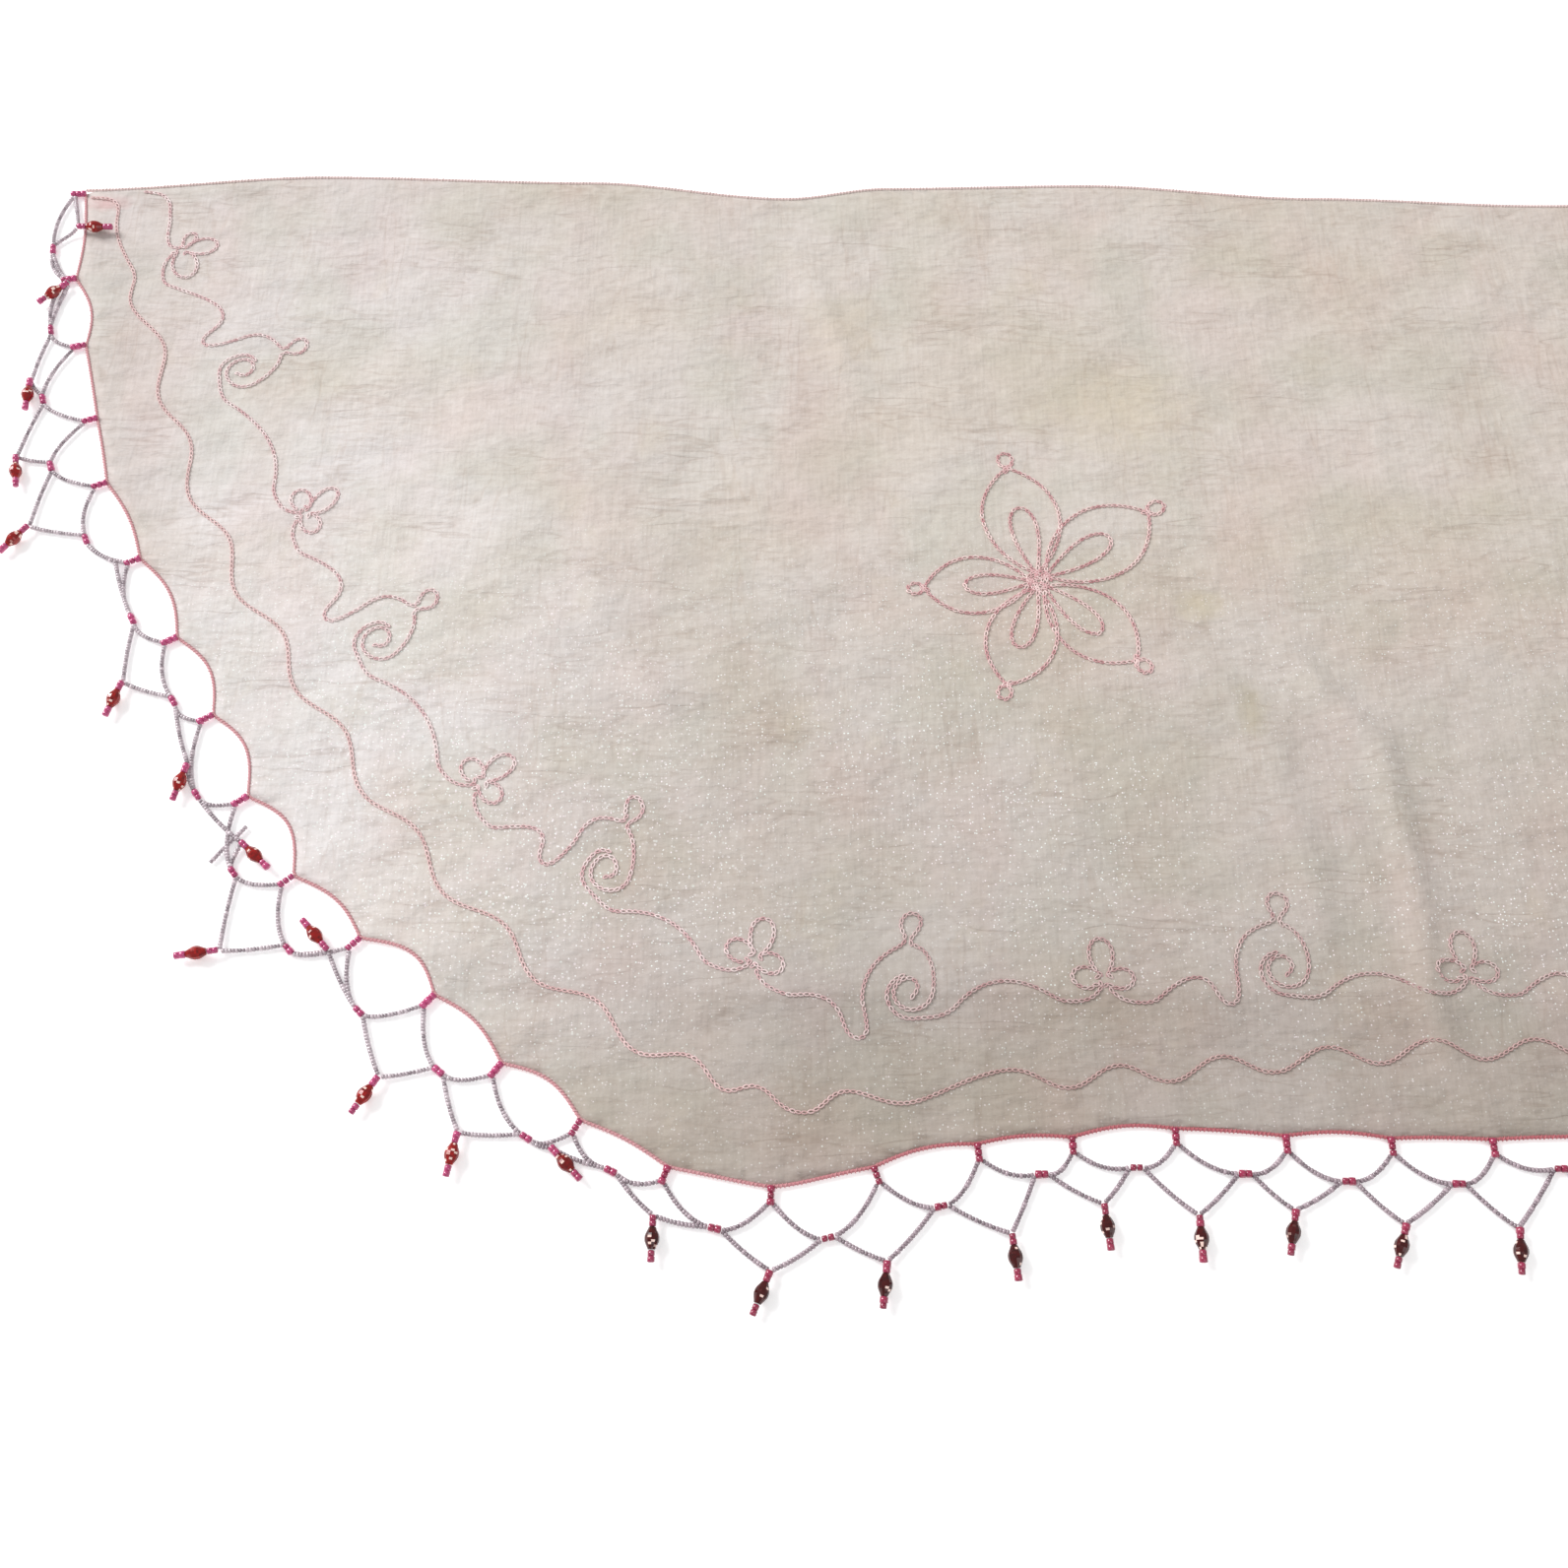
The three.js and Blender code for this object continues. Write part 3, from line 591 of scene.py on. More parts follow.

# Painted highlights: tiny glints painted into the colour, and larger ones at the lower left
where = spread(tree, noise(tree, stretched(tree, (0.15, 0.12, 1)), 2), 0.34, 0.58, 0.2)
where = calculated(tree, "MAXIMUM", where, spread(tree, across, -0.36, -0.5))
left_in, left_out = spread(tree, across, -0.71, -0.60), spread(tree, across, -0.36, -0.50, 0.0, 0.5)
patches = spread(tree, noise(tree, stretched(tree, (0.07, 0.05, 1)), 2), 0.36, 0.56)
at_left = product(tree, left_in, left_out, patches)
for cell, share in ((0.0017, where), (0.0029, at_left)):
    inputs = {"Vector": stretched(tree, (cell, cell, 1)), "Scale": 1.0}
    glint = add_node(tree, "ShaderNodeTexVoronoi", {}, inputs)
    chance = add_node(tree, "ShaderNodeSeparateXYZ", {}, {0: glint.outputs["Color"]})
    near = spread(tree, glint.outputs["Distance"], 0.25, 0.12)
    gleam = spread(tree, chance.outputs[0], 0.15, 0.65, 0.0, 1.6)
    top_fade, low_fade = spread(tree, up, 0.1, -0.04), spread(tree, up, -0.19, -0.13, 0.4)
    dot = product(tree, share, top_fade, low_fade, near)
    dot = calculated(tree, "MULTIPLY", dot, gleam, use_clamp=True)
    sparkle = blended(tree, chance.outputs[1], linear("#F4FFF8"), linear("#FFF1F6"))
    tone = blended(tree, dot, tone, sparkle)
tree.links.new(tone, shader.inputs["Base Color"])
bumped(tree, shader, relief, 0.6, 0.0009)
print(chiffon_finish.name, "has", len(tree.nodes), "nodes")

# %% Cloth into the frame
chiffon.data.materials.append(chiffon_finish)
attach(chiffon, "root")
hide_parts("cloth_panel")

# %% [markdown]
# ## Geometry Nodes helpers
# The hem, its stitches, the embroidery and every string of beads are the same thing to Blender: a
# small shape repeated along a path. Each gets a tree that turns edges into curves, steps along them
# at a real pitch and puts the shape on each point. The sizes are named inputs of the tree.


# %% Paths and trees
def paths_object(name, paths):
    """Wire mesh of many open paths, each an array of points in metres."""
    points, edges = [], []
    for path in paths:
        edges += [(len(points) + i, len(points) + i + 1) for i in range(len(path) - 1)]
        points += [tuple(p) for p in path]
    mesh = bpy.data.meshes.new(name)
    mesh.from_pydata(points, edges, [])
    made = bpy.data.objects.new(name, mesh)
    bpy.context.collection.objects.link(made)
    return made


SOCKET_KINDS = {float: "NodeSocketFloat", int: "NodeSocketInt", type(None): "NodeSocketMaterial"}


def start_tree(name, sizes):
    tree = bpy.data.node_groups.new(name, "GeometryNodeTree")
    tree.interface.new_socket("Paths", in_out="INPUT", socket_type="NodeSocketGeometry")
    for label, value in sizes.items():
        socket = tree.interface.new_socket(label, in_out="INPUT", socket_type=SOCKET_KINDS[type(value)])
        if value is not None:
            socket.default_value = value
    tree.interface.new_socket("Shapes", in_out="OUTPUT", socket_type="NodeSocketGeometry")
    return tree, tree.nodes.new("NodeGroupInput").outputs


def finish_tree(tree, shapes, finish):
    real = add_node(tree, "GeometryNodeRealizeInstances", {}, {0: shapes})
    inputs = {"Geometry": real.outputs[0], "Material": finish}
    painted = add_node(tree, "GeometryNodeSetMaterial", {}, inputs)
    tree.links.new(painted.outputs[0], tree.nodes.new("NodeGroupOutput").inputs[0])


def steps_along(tree, paths, pitch):
    line = add_node(tree, "GeometryNodeMeshToCurve", {}, {0: paths})
    inputs = {"Curve": line.outputs[0], "Length": pitch}
    return add_node(tree, "GeometryNodeResampleCurve", {"mode": "LENGTH"}, inputs)


def run_tree(source, tree, values, name):
    """Plain mesh of what a tree makes from a source object, which is then thrown away."""
    modifier = source.modifiers.new("maker", "NODES")
    modifier.node_group = tree
    for item in tree.interface.items_tree:
        if item.in_out == "INPUT" and item.name in values:
            modifier[item.identifier] = values[item.name]
    evaluated = source.evaluated_get(bpy.context.evaluated_depsgraph_get())
    mesh = bpy.data.meshes.new_from_object(evaluated)
    bpy.data.objects.remove(source)
    mesh.name = name
    made = bpy.data.objects.new(name, mesh)
    bpy.context.collection.objects.link(made)
    print(name, len(mesh.polygons), "faces")
    return made


def into_frame(piece, nodes):
    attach(piece, "root")
    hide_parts(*nodes)


# %% [markdown]
# ## The rolled hem
# The raw edge is rolled over a cord and covered with a close zigzag of pink thread. The roll is a
# round profile carried along the edge, and the thread is a slanted arc over the roll, repeated.

# %% Trees for the roll and its stitches
roll_tree, size = start_tree("rolled_hem", {"Radius": 0.001, "Step": 0.003, "Finish": None})
line = steps_along(roll_tree, size["Paths"], size["Step"])
inputs = {"Resolution": 8, "Radius": size["Radius"]}
ring = add_node(roll_tree, "GeometryNodeCurvePrimitiveCircle", {}, inputs)
inputs = {"Curve": line.outputs[0], "Profile Curve": ring.outputs[0], "Fill Caps": True}
roll = add_node(roll_tree, "GeometryNodeCurveToMesh", {}, inputs)
finish_tree(roll_tree, roll.outputs[0], size["Finish"])


def arc_rod(tree, start, middle, end, radius, segments=4):
    """Slim rod of four sides along an arc."""
    inputs = {"Resolution": segments, "Start": start, "Middle": middle, "End": end}
    arc = add_node(tree, "GeometryNodeCurveQuadraticBezier", {}, inputs)
    ring = add_node(tree, "GeometryNodeCurvePrimitiveCircle", {}, {"Resolution": 4, "Radius": radius})
    inputs = {"Curve": arc.outputs[0], "Profile Curve": ring.outputs[0], "Fill Caps": True}
    rod = add_node(tree, "GeometryNodeCurveToMesh", {}, inputs)
    return add_node(tree, "GeometryNodeSetShadeSmooth", {}, {"Geometry": rod.outputs[0]}).outputs[0]


def chance_between(tree, low, high, seed):
    inputs = {2: low, 3: high, 8: seed}
    return add_node(tree, "FunctionNodeRandomValue", {"data_type": "FLOAT"}, inputs).outputs[1]


def set_along(tree, line, shape, seed, least=0.9, most=1.1):
    """A shape on every step of a line, its X along the line and its Z up, each a little different."""
    forward = add_node(tree, "GeometryNodeInputTangent").outputs[0]
    settings = {"axis": "X", "pivot_axis": "Z"}
    turn = add_node(tree, "FunctionNodeAlignRotationToVector", settings, {"Vector": forward})
    scale = chance_between(tree, least, most, seed)
    inputs = {"Points": line, "Instance": shape, "Rotation": turn.outputs[0], "Scale": scale}
    return add_node(tree, "GeometryNodeInstanceOnPoints", {}, inputs).outputs[0]


def tinted(tree, shapes, seed, domain="INSTANCE"):
    """A random tint from 0 to 1 kept on each shape or face for its finish to read."""
    settings = {"data_type": "FLOAT", "domain": domain}
    inputs = {"Geometry": shapes, "Name": "tint", "Value": chance_between(tree, 0.0, 1.0, seed)}
    return add_node(tree, "GeometryNodeStoreNamedAttribute", settings, inputs).outputs[0]


whip_tree, size = start_tree("whip_stitches", {"Pitch": 0.0017, "Seed": 4, "Finish": None})
line = steps_along(whip_tree, size["Paths"], size["Pitch"])
low_start, crown, low_end = (-0.0006, -0.0009, -0.0002), (0, 0, 0.0019), (0.0006, 0.0009, -0.0002)
over = arc_rod(whip_tree, low_start, crown, low_end, 0.00024)
stitches = tinted(whip_tree, set_along(whip_tree, line.outputs[0], over, size["Seed"]), size["Seed"])
finish_tree(whip_tree, stitches, size["Finish"])
print("trees:", roll_tree.name, whip_tree.name)

# %% [markdown]
# ### Finish of the threads
# The thread is bright rayon. Its twisted filaments catch the light in short streaks, so it has a
# low roughness, some sheen and a tint that changes from stitch to stitch; its pale stitches are
# partly painted highlights. The edge and the stitch lines are darker along the bottom than at the
# left end.


# %% Rayon thread
def thread_finish(name, deep, pale, roughness, gleam=0.5, bottom="#FFFFFF"):
    sockets = {"Roughness": roughness, "Specular IOR Level": 0.5}
    sockets |= {"Sheen Weight": 0.4, "Sheen Roughness": 0.35}
    finish, tree, shader = new_finish(name, sockets)
    tint = add_node(tree, "ShaderNodeAttribute", {"attribute_name": "tint"}).outputs["Fac"]
    fibres = noise(tree, stretched(tree, (0.0012, 0.0012, 0.0006)), 2)
    # The pale end of the tint, weighted by gleam, is partly painted highlight on the thread.
    share = calculated(tree, "MULTIPLY_ADD", fibres, 0.6, 0.2 - gleam / 2)
    share = calculated(tree, "MULTIPLY_ADD", tint, gleam, share)
    colour = blended(tree, share, linear(deep), linear(pale))
    colour = darkened(tree, spread(tree, place_x(tree), -0.46, -0.34), colour, bottom)
    tree.links.new(colour, shader.inputs["Base Color"])
    bumped(tree, shader, fibres, 0.3, 0.0002)
    return finish


hem_finish = thread_finish("rolled_pink_edge", "#CB8C93", "#E0B2B4", 0.65, bottom="#DDA8AF")
whip_finish = thread_finish("rayon_edge_thread", "#CE858D", "#EABFC0", 0.45, bottom="#DDA8AF")
top_finish = thread_finish("rolled_pale_edge", "#E6CBC8", "#F3E2DE", 0.65)
line_finish = thread_finish("rayon_line_thread", "#DDB0AF", "#F9DFDD", 0.45, bottom="#D8D2CF")
scroll_finish = thread_finish("rayon_scroll_thread", "#DDA7AC", "#FFF2F0", 0.34, 0.65, "#DCD6D3")
flower_finish = thread_finish("rayon_flower_thread", "#C97C86", "#FBE8E3", 0.34, 0.65)

# %% Lengths of the net, from and to a row
LENGTHS = {
    "fringe_left_top": (0, 6),
    "fringe_left_low": (6, 12),
    "fringe_left_corner": (12, 18),
    "fringe_bottom_left": (18, 25),
    "fringe_bottom_right": (25, 31),
    "fringe_right_corner": (31, 37),
    "fringe_right_low": (37, 43),
    "fringe_right_top": (43, 49),
}

# %% The hem
HEM_RADIUS = 0.7
HEM_STEP = 3
WHIP_PITCH = 1.7
hems = (("hem_curved", HEM_LINE, LENGTHS, hem_finish), ("hem_straight", TOP_LINE, ["hem_top"], top_finish))
for name, hem_path, nodes, finish in hems:
    path = lifted(hem_path, HEM_MIDDLE)
    values = {"Radius": HEM_RADIUS * MM, "Step": HEM_STEP * MM, "Finish": finish}
    into_frame(run_tree(paths_object(name, [path]), roll_tree, values, name), nodes)
    cover = whip_finish if finish is hem_finish else finish
    values = {"Pitch": WHIP_PITCH * MM, "Seed": 4, "Finish": cover}
    thread = run_tree(paths_object(name, [path]), whip_tree, values, name + "_stitches")
    into_frame(thread, nodes)

# %% [markdown]
# ## The net of beads
# Two strings zigzag side by side. The inner one runs from hem bead to joint to hem bead, and the
# outer one from joint to tip to joint, so that four runs close one mesh. Both strings pass through
# the joint beads, and a drop hangs at all tips but one. The strings bow a little, as they lie slack.

# %% Tree for beads on a string
bead_sizes = {"Pitch": 0.0016, "Width": 0.002, "Length": 0.0015, "Blunt": 0.45, "Seed": 5, "Finish": None}
bead_tree, size = start_tree("beads_on_string", bead_sizes)
line = steps_along(bead_tree, size["Paths"], size["Pitch"])
ball = add_node(bead_tree, "GeometryNodeMeshUVSphere", {}, {"Segments": 8, "Rings": 5, "Radius": 0.5})
point = add_node(bead_tree, "GeometryNodeInputPosition").outputs[0]
spot = add_node(bead_tree, "ShaderNodeSeparateXYZ", {}, {0: point})
away = calculated(bead_tree, "POWER", calculated(bead_tree, "ABSOLUTE", spot.outputs[2]), size["Blunt"])
rest = calculated(bead_tree, "SUBTRACT", 1.0, size["Blunt"])
rest = calculated(bead_tree, "POWER", 0.5, rest)
blunt = product(bead_tree, away, rest, calculated(bead_tree, "SIGN", spot.outputs[2]))
inputs = {0: spot.outputs[0], 1: spot.outputs[1], 2: blunt}
spot = add_node(bead_tree, "ShaderNodeCombineXYZ", {}, inputs)
inputs = {"Geometry": ball.outputs[0], "Position": spot.outputs[0]}
ball = add_node(bead_tree, "GeometryNodeSetPosition", {}, inputs)
smooth = add_node(bead_tree, "GeometryNodeSetShadeSmooth", {}, {"Geometry": ball.outputs[0]})
inputs = {0: size["Width"], 1: size["Width"], 2: size["Length"]}
shape = add_node(bead_tree, "ShaderNodeCombineXYZ", {}, inputs)
inputs = {"Geometry": smooth.outputs[0], "Scale": shape.outputs[0]}
bead = add_node(bead_tree, "GeometryNodeTransform", {}, inputs)
forward = add_node(bead_tree, "GeometryNodeInputTangent").outputs[0]
turn = add_node(bead_tree, "FunctionNodeAlignRotationToVector", {"axis": "Z"}, {"Vector": forward})
inputs = {"Points": line.outputs[0], "Instance": bead.outputs[0], "Rotation": turn.outputs[0]}
inputs["Scale"] = chance_between(bead_tree, 0.88, 1.1, size["Seed"])
beads = add_node(bead_tree, "GeometryNodeInstanceOnPoints", {}, inputs)
finish_tree(bead_tree, tinted(bead_tree, beads.outputs[0], size["Seed"]), size["Finish"])
print("tree:", bead_tree.name)

# %% Ends that the strings meet
STRING_HEIGHT = 1.45
JOINT_HEIGHT = 1.75
TIP_HEIGHT = 2.4
ON_CLOTH = 5.0
JOINT_HALF = 2.6
JOINT_PAIR_HALF = 1.3
JOINT_PAIR_LIFT = 0.1
STRING_REACH = 3.2
HEIGHT_EASE = 7


def end_at(along, out, height):
    spot, forward, outward = edge_frame(along)
    return {"at": (spot + outward * out)[0], "z": height, "forward": forward[0], "outward": outward[0]}


def hem_end(row):
    return end_at(row["along"], row["out"] + STRING_REACH, STRING_HEIGHT)


def joint_end(row, side, height, half=JOINT_HALF):
    """One end of the joint's pair of beads, which lies along the hem."""
    joint = end_at(row["joint_along"], row["joint_out"], height)
    joint["at"] = joint["at"] + joint["forward"] * side * half
    return joint


def tip_end(row, height):
    return end_at(row["tip_along"], row["tip_out"], height)


def slack_run(start, end, bow, trim_start, trim_end, steps=12):
    """String between two ends, bowed outward, cut short at each end to clear the beads there."""
    t = np.linspace(0, 1, steps + 1)[:, None]
    outward = start["outward"] + end["outward"]
    flat = start["at"] * (1 - t) + end["at"] * t + 4 * t * (1 - t) * bow * outward / np.hypot(*outward)
    low = min(STRING_HEIGHT, start["z"], end["z"])
    from_start, from_end = np.exp(-t[:, 0] * HEIGHT_EASE), np.exp(-(1 - t[:, 0]) * HEIGHT_EASE)
    height = low + (start["z"] - low) * from_start + (end["z"] - low) * from_end
    way = np.concatenate([[0], np.cumsum(np.hypot(*np.diff(flat, axis=0).T))])
    kept = np.linspace(trim_start, max(way[-1] - trim_end, trim_start + 1), steps + 1)
    flat = np.stack([np.interp(kept, way, flat[:, k]) for k in (0, 1)], 1)
    return lifted(flat, np.interp(kept, way, height))


# %% Runs of string in one length
HEM_BOW, TIP_BOW = 3, 1
PAST_HEM_BEAD, PAST_JOINT, PAST_DROP, PAST_PLAIN_TIP = 2.4, 1.3, 1.6, 0.2


def string_runs(first, last):
    runs = []
    for row, after in zip(ROWS[first:last], ROWS[first + 1 : last + 1]):
        before_joint, past_joint = (joint_end(row, side, STRING_HEIGHT) for side in (-1, 1))
        runs.append(slack_run(hem_end(row), before_joint, HEM_BOW, PAST_HEM_BEAD, PAST_JOINT))
        runs.append(slack_run(past_joint, hem_end(after), HEM_BOW, PAST_JOINT, PAST_HEM_BEAD))
        before_joint, past_joint = (joint_end(row, side, JOINT_HEIGHT) for side in (-1, 1))
        at_corner = row is ROWS[0]
        tip = tip_end(row, ON_CLOTH if at_corner else TIP_HEIGHT)
        past_tip = PAST_PLAIN_TIP if row["turn"] is NO_DROP else PAST_DROP
        if at_corner:
            runs.append(slack_run(hem_end(row), tip, 0, PAST_HEM_BEAD, past_tip))
        runs.append(slack_run(tip, before_joint, TIP_BOW, past_tip, PAST_JOINT))
        if after is not ROWS[-1]:
            past_tip = PAST_PLAIN_TIP if after["turn"] is NO_DROP else PAST_DROP
            runs.append(slack_run(past_joint, tip_end(after, TIP_HEIGHT), TIP_BOW, PAST_JOINT, past_tip))
    return runs


# %% [markdown]
# ### Finishes of the beads
# The seed beads are lilac crystal glass with a lined hole, so they look pale, with darker edges and
# small highlights. The pink ones are opaque lustred glass, and the drops are fire-polished glass in
# a dark red. A clear coat gives the hard highlights that glass has in soft light.


# %% Glass finishes
def glass_finish(name, deep, pale, beyond, sockets, reach=(-0.56, -0.44), painted_glint=None):
    """Glass of two colours mixed, multiplied by a third beyond a reach in metres along the scarf."""
    sockets = {"IOR": 1.52, "Coat IOR": 1.5, "Coat Roughness": 0.05, **sockets}
    finish, tree, shader = new_finish(name, sockets)
    tint = add_node(tree, "ShaderNodeAttribute", {"attribute_name": "tint"}).outputs["Fac"]
    cloudy = noise(tree, stretched(tree, (0.0022, 0.0022, 0.0022)), 2)
    share = calculated(tree, "MULTIPLY_ADD", cloudy, 0.7, -0.1)
    share = calculated(tree, "MULTIPLY_ADD", tint, 0.5, share)
    colour = blended(tree, share, linear(deep), linear(pale))
    # Beyond the reach the glass is painted darker, as painted shade: the beads look brighter in the light
    # at the left end.
    colour = darkened(tree, spread(tree, place_x(tree), *reach), colour, beyond)
    # A few faces, picked by their tint, are painted pale as painted highlights.
    if painted_glint:
        colour = blended(tree, spread(tree, tint, 0.92, 0.94), colour, linear(painted_glint))
    tree.links.new(colour, shader.inputs["Base Color"])
    bumped(tree, shader, cloudy, 0.15, 0.0002)
    return finish


gloss = {"Roughness": 0.2, "Coat Weight": 0.8}
crystal_finish = glass_finish("lilac_crystal_glass", "#67545F", "#EEE0E6", "#DAD2D6", gloss)
pink_finish = glass_finish("pink_lustre_glass", "#9E215A", "#D24F88", "#CF98A2", gloss)

# The red glass looks clear and bright at the left end, where light comes through it, and nearly
# black elsewhere: the darkening away from that end is painted shade. A few small facets of each
# bead are painted pale, as painted highlights where they would mirror the light.
gloss = {"Roughness": 0.15, "Specular IOR Level": 0.3, "Coat Weight": 0.35}
name, reach = "red_fire_polished_glass", (-0.53, -0.47)
red_finish = glass_finish(name, "#5A0306", "#B51712", "#7A3A44", gloss, reach, "#F6D6CB")

# %% Strings of seed beads
seed_bead = {"Pitch": 1.4 * MM, "Width": 2.3 * MM, "Length": 1.55 * MM, "Blunt": 0.4}
for node_name, (first, last) in LENGTHS.items():
    runs = string_runs(first, last)
    if first < LOOSE_ROW < last:
        loose = np.concatenate([edge_place(along, out) for along, out in LOOSE_END])
        runs.append(lifted(loose, STRING_HEIGHT))
    name = node_name.replace("fringe", "seed_beads")
    values = {**seed_bead, "Seed": first, "Finish": crystal_finish}
    into_frame(run_tree(paths_object(name, runs), bead_tree, values, name), [node_name])

# %% [markdown]
# ### Pink beads and red drops
# Three pink beads stand on the hem at each row and two lie at each joint. A drop is a pair of pink
# beads, a faceted red one and two more pink ones. Its red bead is a barrel with twelve flat
# sides, made by a tree that carries a ring along a short line and changes its radius on the way.

# %% Pink beads
HEM_PINK = (-1.4, 3.8)
HEM_PINK_HEIGHT = 2.05
DROP_PINK = [(0.2, 4.6), (13.9, 18.4)]
DROP_HEIGHT = 3.6
HALF_PINK_BEAD = 1.1


def drop_axis(row):
    tip = tip_end(row, ON_CLOTH if row is ROWS[0] else DROP_HEIGHT)
    angle = math.radians(row["turn"]) + math.atan2(tip["outward"][1], tip["outward"][0])
    return tip["at"], np.array([math.cos(angle), math.sin(angle)]), tip["z"]


pink_runs, drop_rows = [], [row for row in ROWS[:-1] if row["turn"] is not NO_DROP]
for row in ROWS:
    root, outer = (edge_place(row["along"], row["out"] + reach) for reach in HEM_PINK)
    pink_runs.append(lifted(np.concatenate([root, outer]), HEM_PINK_HEIGHT))
for row in ROWS[:-1]:
    pair = [joint_end(row, side, JOINT_HEIGHT, JOINT_PAIR_HALF)["at"] for side in (-1, 1)]
    pink_runs.append(lifted(pair, JOINT_HEIGHT + JOINT_PAIR_LIFT))
for row in drop_rows:
    spot, aim, height = drop_axis(row)
    for start, end in DROP_PINK:
        ways = (start + HALF_PINK_BEAD, end - HALF_PINK_BEAD)
        pink_runs.append(lifted([spot + aim * way for way in ways], height))
pink_bead = {"Pitch": 2.4 * MM, "Width": 3.3 * MM, "Length": 2.7 * MM, "Blunt": 0.25}
values = {**pink_bead, "Seed": 3, "Finish": pink_finish}
pink_beads = run_tree(paths_object("pink_beads", pink_runs), bead_tree, values, "pink_beads")
into_frame(pink_beads, LENGTHS)

# %% Tree for the red beads
red_tree, size = start_tree("faceted_beads", {"Wide": 0.003, "Narrow": 0.0015, "Seed": 6, "Finish": None})
line = add_node(red_tree, "GeometryNodeMeshToCurve", {}, {0: size["Paths"]})
factor = add_node(red_tree, "GeometryNodeSplineParameter").outputs["Factor"]
from_middle = calculated(red_tree, "ABSOLUTE", calculated(red_tree, "SUBTRACT", factor, 0.5))
inputs = {0: from_middle, 1: 0.05, 2: 0.6, 3: size["Wide"], 4: size["Narrow"]}
radius = add_node(red_tree, "ShaderNodeMapRange", {"interpolation_type": "SMOOTHSTEP"}, inputs)
ring = add_node(red_tree, "GeometryNodeCurvePrimitiveCircle", {}, {"Resolution": 12, "Radius": 1.0})
inputs = {"Curve": line.outputs[0], "Profile Curve": ring.outputs[0], "Fill Caps": True}
inputs["Scale"] = radius.outputs[0]
faceted = add_node(red_tree, "GeometryNodeCurveToMesh", {}, inputs)
inputs = {"Geometry": faceted.outputs[0], "Shade Smooth": False}
flat = add_node(red_tree, "GeometryNodeSetShadeSmooth", {}, inputs)
finish_tree(red_tree, tinted(red_tree, flat.outputs[0], size["Seed"], "FACE"), size["Finish"])
print("tree:", red_tree.name)

# %% Red beads
RED_START, RED_LENGTH = 4.9, 8.7
RED_WIDE, RED_NARROW = 3.0, 1.3
RED_RINGS = np.linspace(0, 1, 11)
red_runs = []
for row in drop_rows:
    spot, aim, height = drop_axis(row)
    red_runs.append(lifted([spot + aim * (RED_START + RED_LENGTH * share) for share in RED_RINGS], height))
values = {"Wide": RED_WIDE * MM, "Narrow": RED_NARROW * MM, "Seed": 6, "Finish": red_finish}
red_drops = run_tree(paths_object("red_beads", red_runs), red_tree, values, "red_beads")
into_frame(red_drops, LENGTHS)

# %% [markdown]
# ## The embroidery
# Three designs are worked in chain stitch: a wavy line near the edge, a scroll of trefoils and curls
# inside it, and a five-petalled flower in each half. Each design is drawn from arcs, loops and
# spirals of named sizes, and a tree lays the stitches along it. A chain stitch is a loop of
# thread, so each link is two thin rods that part and meet again.


# %% Strokes that the designs are drawn with
def bend_between(start, first, second, end, steps=14):
    t = np.linspace(0, 1, steps + 1)[:, None]
    start, first, second, end = (np.array(p, float) for p in (start, first, second, end))
    return (1 - t) ** 3 * start + 3 * (1 - t) ** 2 * t * first + 3 * (1 - t) * t**2 * second + t**3 * end


def loop_from(spot, angle, length, width, roundness=0.0, steps=16):
    """Closed loop that leaves a spot at an angle and comes back, from a teardrop to a circle."""
    t = np.linspace(0, 1, steps + 1)
    along = length * ((1 - roundness) * np.sin(np.pi * t) + roundness * np.sin(np.pi * t) ** 2)
    side = width / 2 * np.sin(2 * np.pi * t)
    turn = math.radians(angle)
    forward, aside = np.array([math.cos(turn), math.sin(turn)]), np.array([-math.sin(turn), math.cos(turn)])
    return np.array(spot, float) + along[:, None] * forward + side[:, None] * aside


def spiral(centre, start_angle, end_angle, start_radius, end_radius, steps=26):
    angle = np.radians(np.linspace(start_angle, end_angle, steps + 1))
    radius = np.linspace(start_radius, end_radius, steps + 1)[:, None]
    return np.array(centre, float) + radius * np.stack([np.cos(angle), np.sin(angle)], 1)


# %% Curl and trefoil, in millimetres along and across from the base line
def curl():
    dip = bend_between((-25, 3), (-22, -4.5), (-16.5, -5.5), (-15.5, 4))
    rise = bend_between((-15.5, 4), (-15, 9), (-16, 13), (-15, 18))
    crown = bend_between((-15, 18), (-13, 30), (-4, 33), (4, 35))
    tip = loop_from((4, 35), 80, 13, 9.5)
    sweep = bend_between((4, 35), (12, 33), (16.5, 24), (15.5, 14))
    inward = spiral((5, 14), 0, -430, 10.5, 2.5, 34)
    foot = np.concatenate([spiral((5, 14), 100, 250, 7.2, 12.5, 12), [[14, 0.5], [20, 1.5]]])
    return [np.concatenate([dip, rise, crown, tip, sweep, inward]), foot]


def three_loops(entry, left, right):
    """A line that comes in to a node, three loops on it and the line that leaves."""
    node = (0, 9)
    middle, leaving = (93, 19, 10.5, 0.4), bend_between(node, (4, -2), (12, -1), (20, -1))
    loops = [loop_from(node, *loop) for loop in (left, middle, right)]
    return [np.concatenate([bend_between(*entry, node), *loops, leaving])]


def trefoil():
    return three_loops([(-20, 0), (-12, -1), (-4, -2)], (172, 14, 10, 0.8), (5, 13, 9.5, 0.8))


def first_trefoil():
    return three_loops([(-4, 2), (-3, 5), (-2, 7)], (148, 13, 6, 0.2), (8, 19, 13, 0.8))


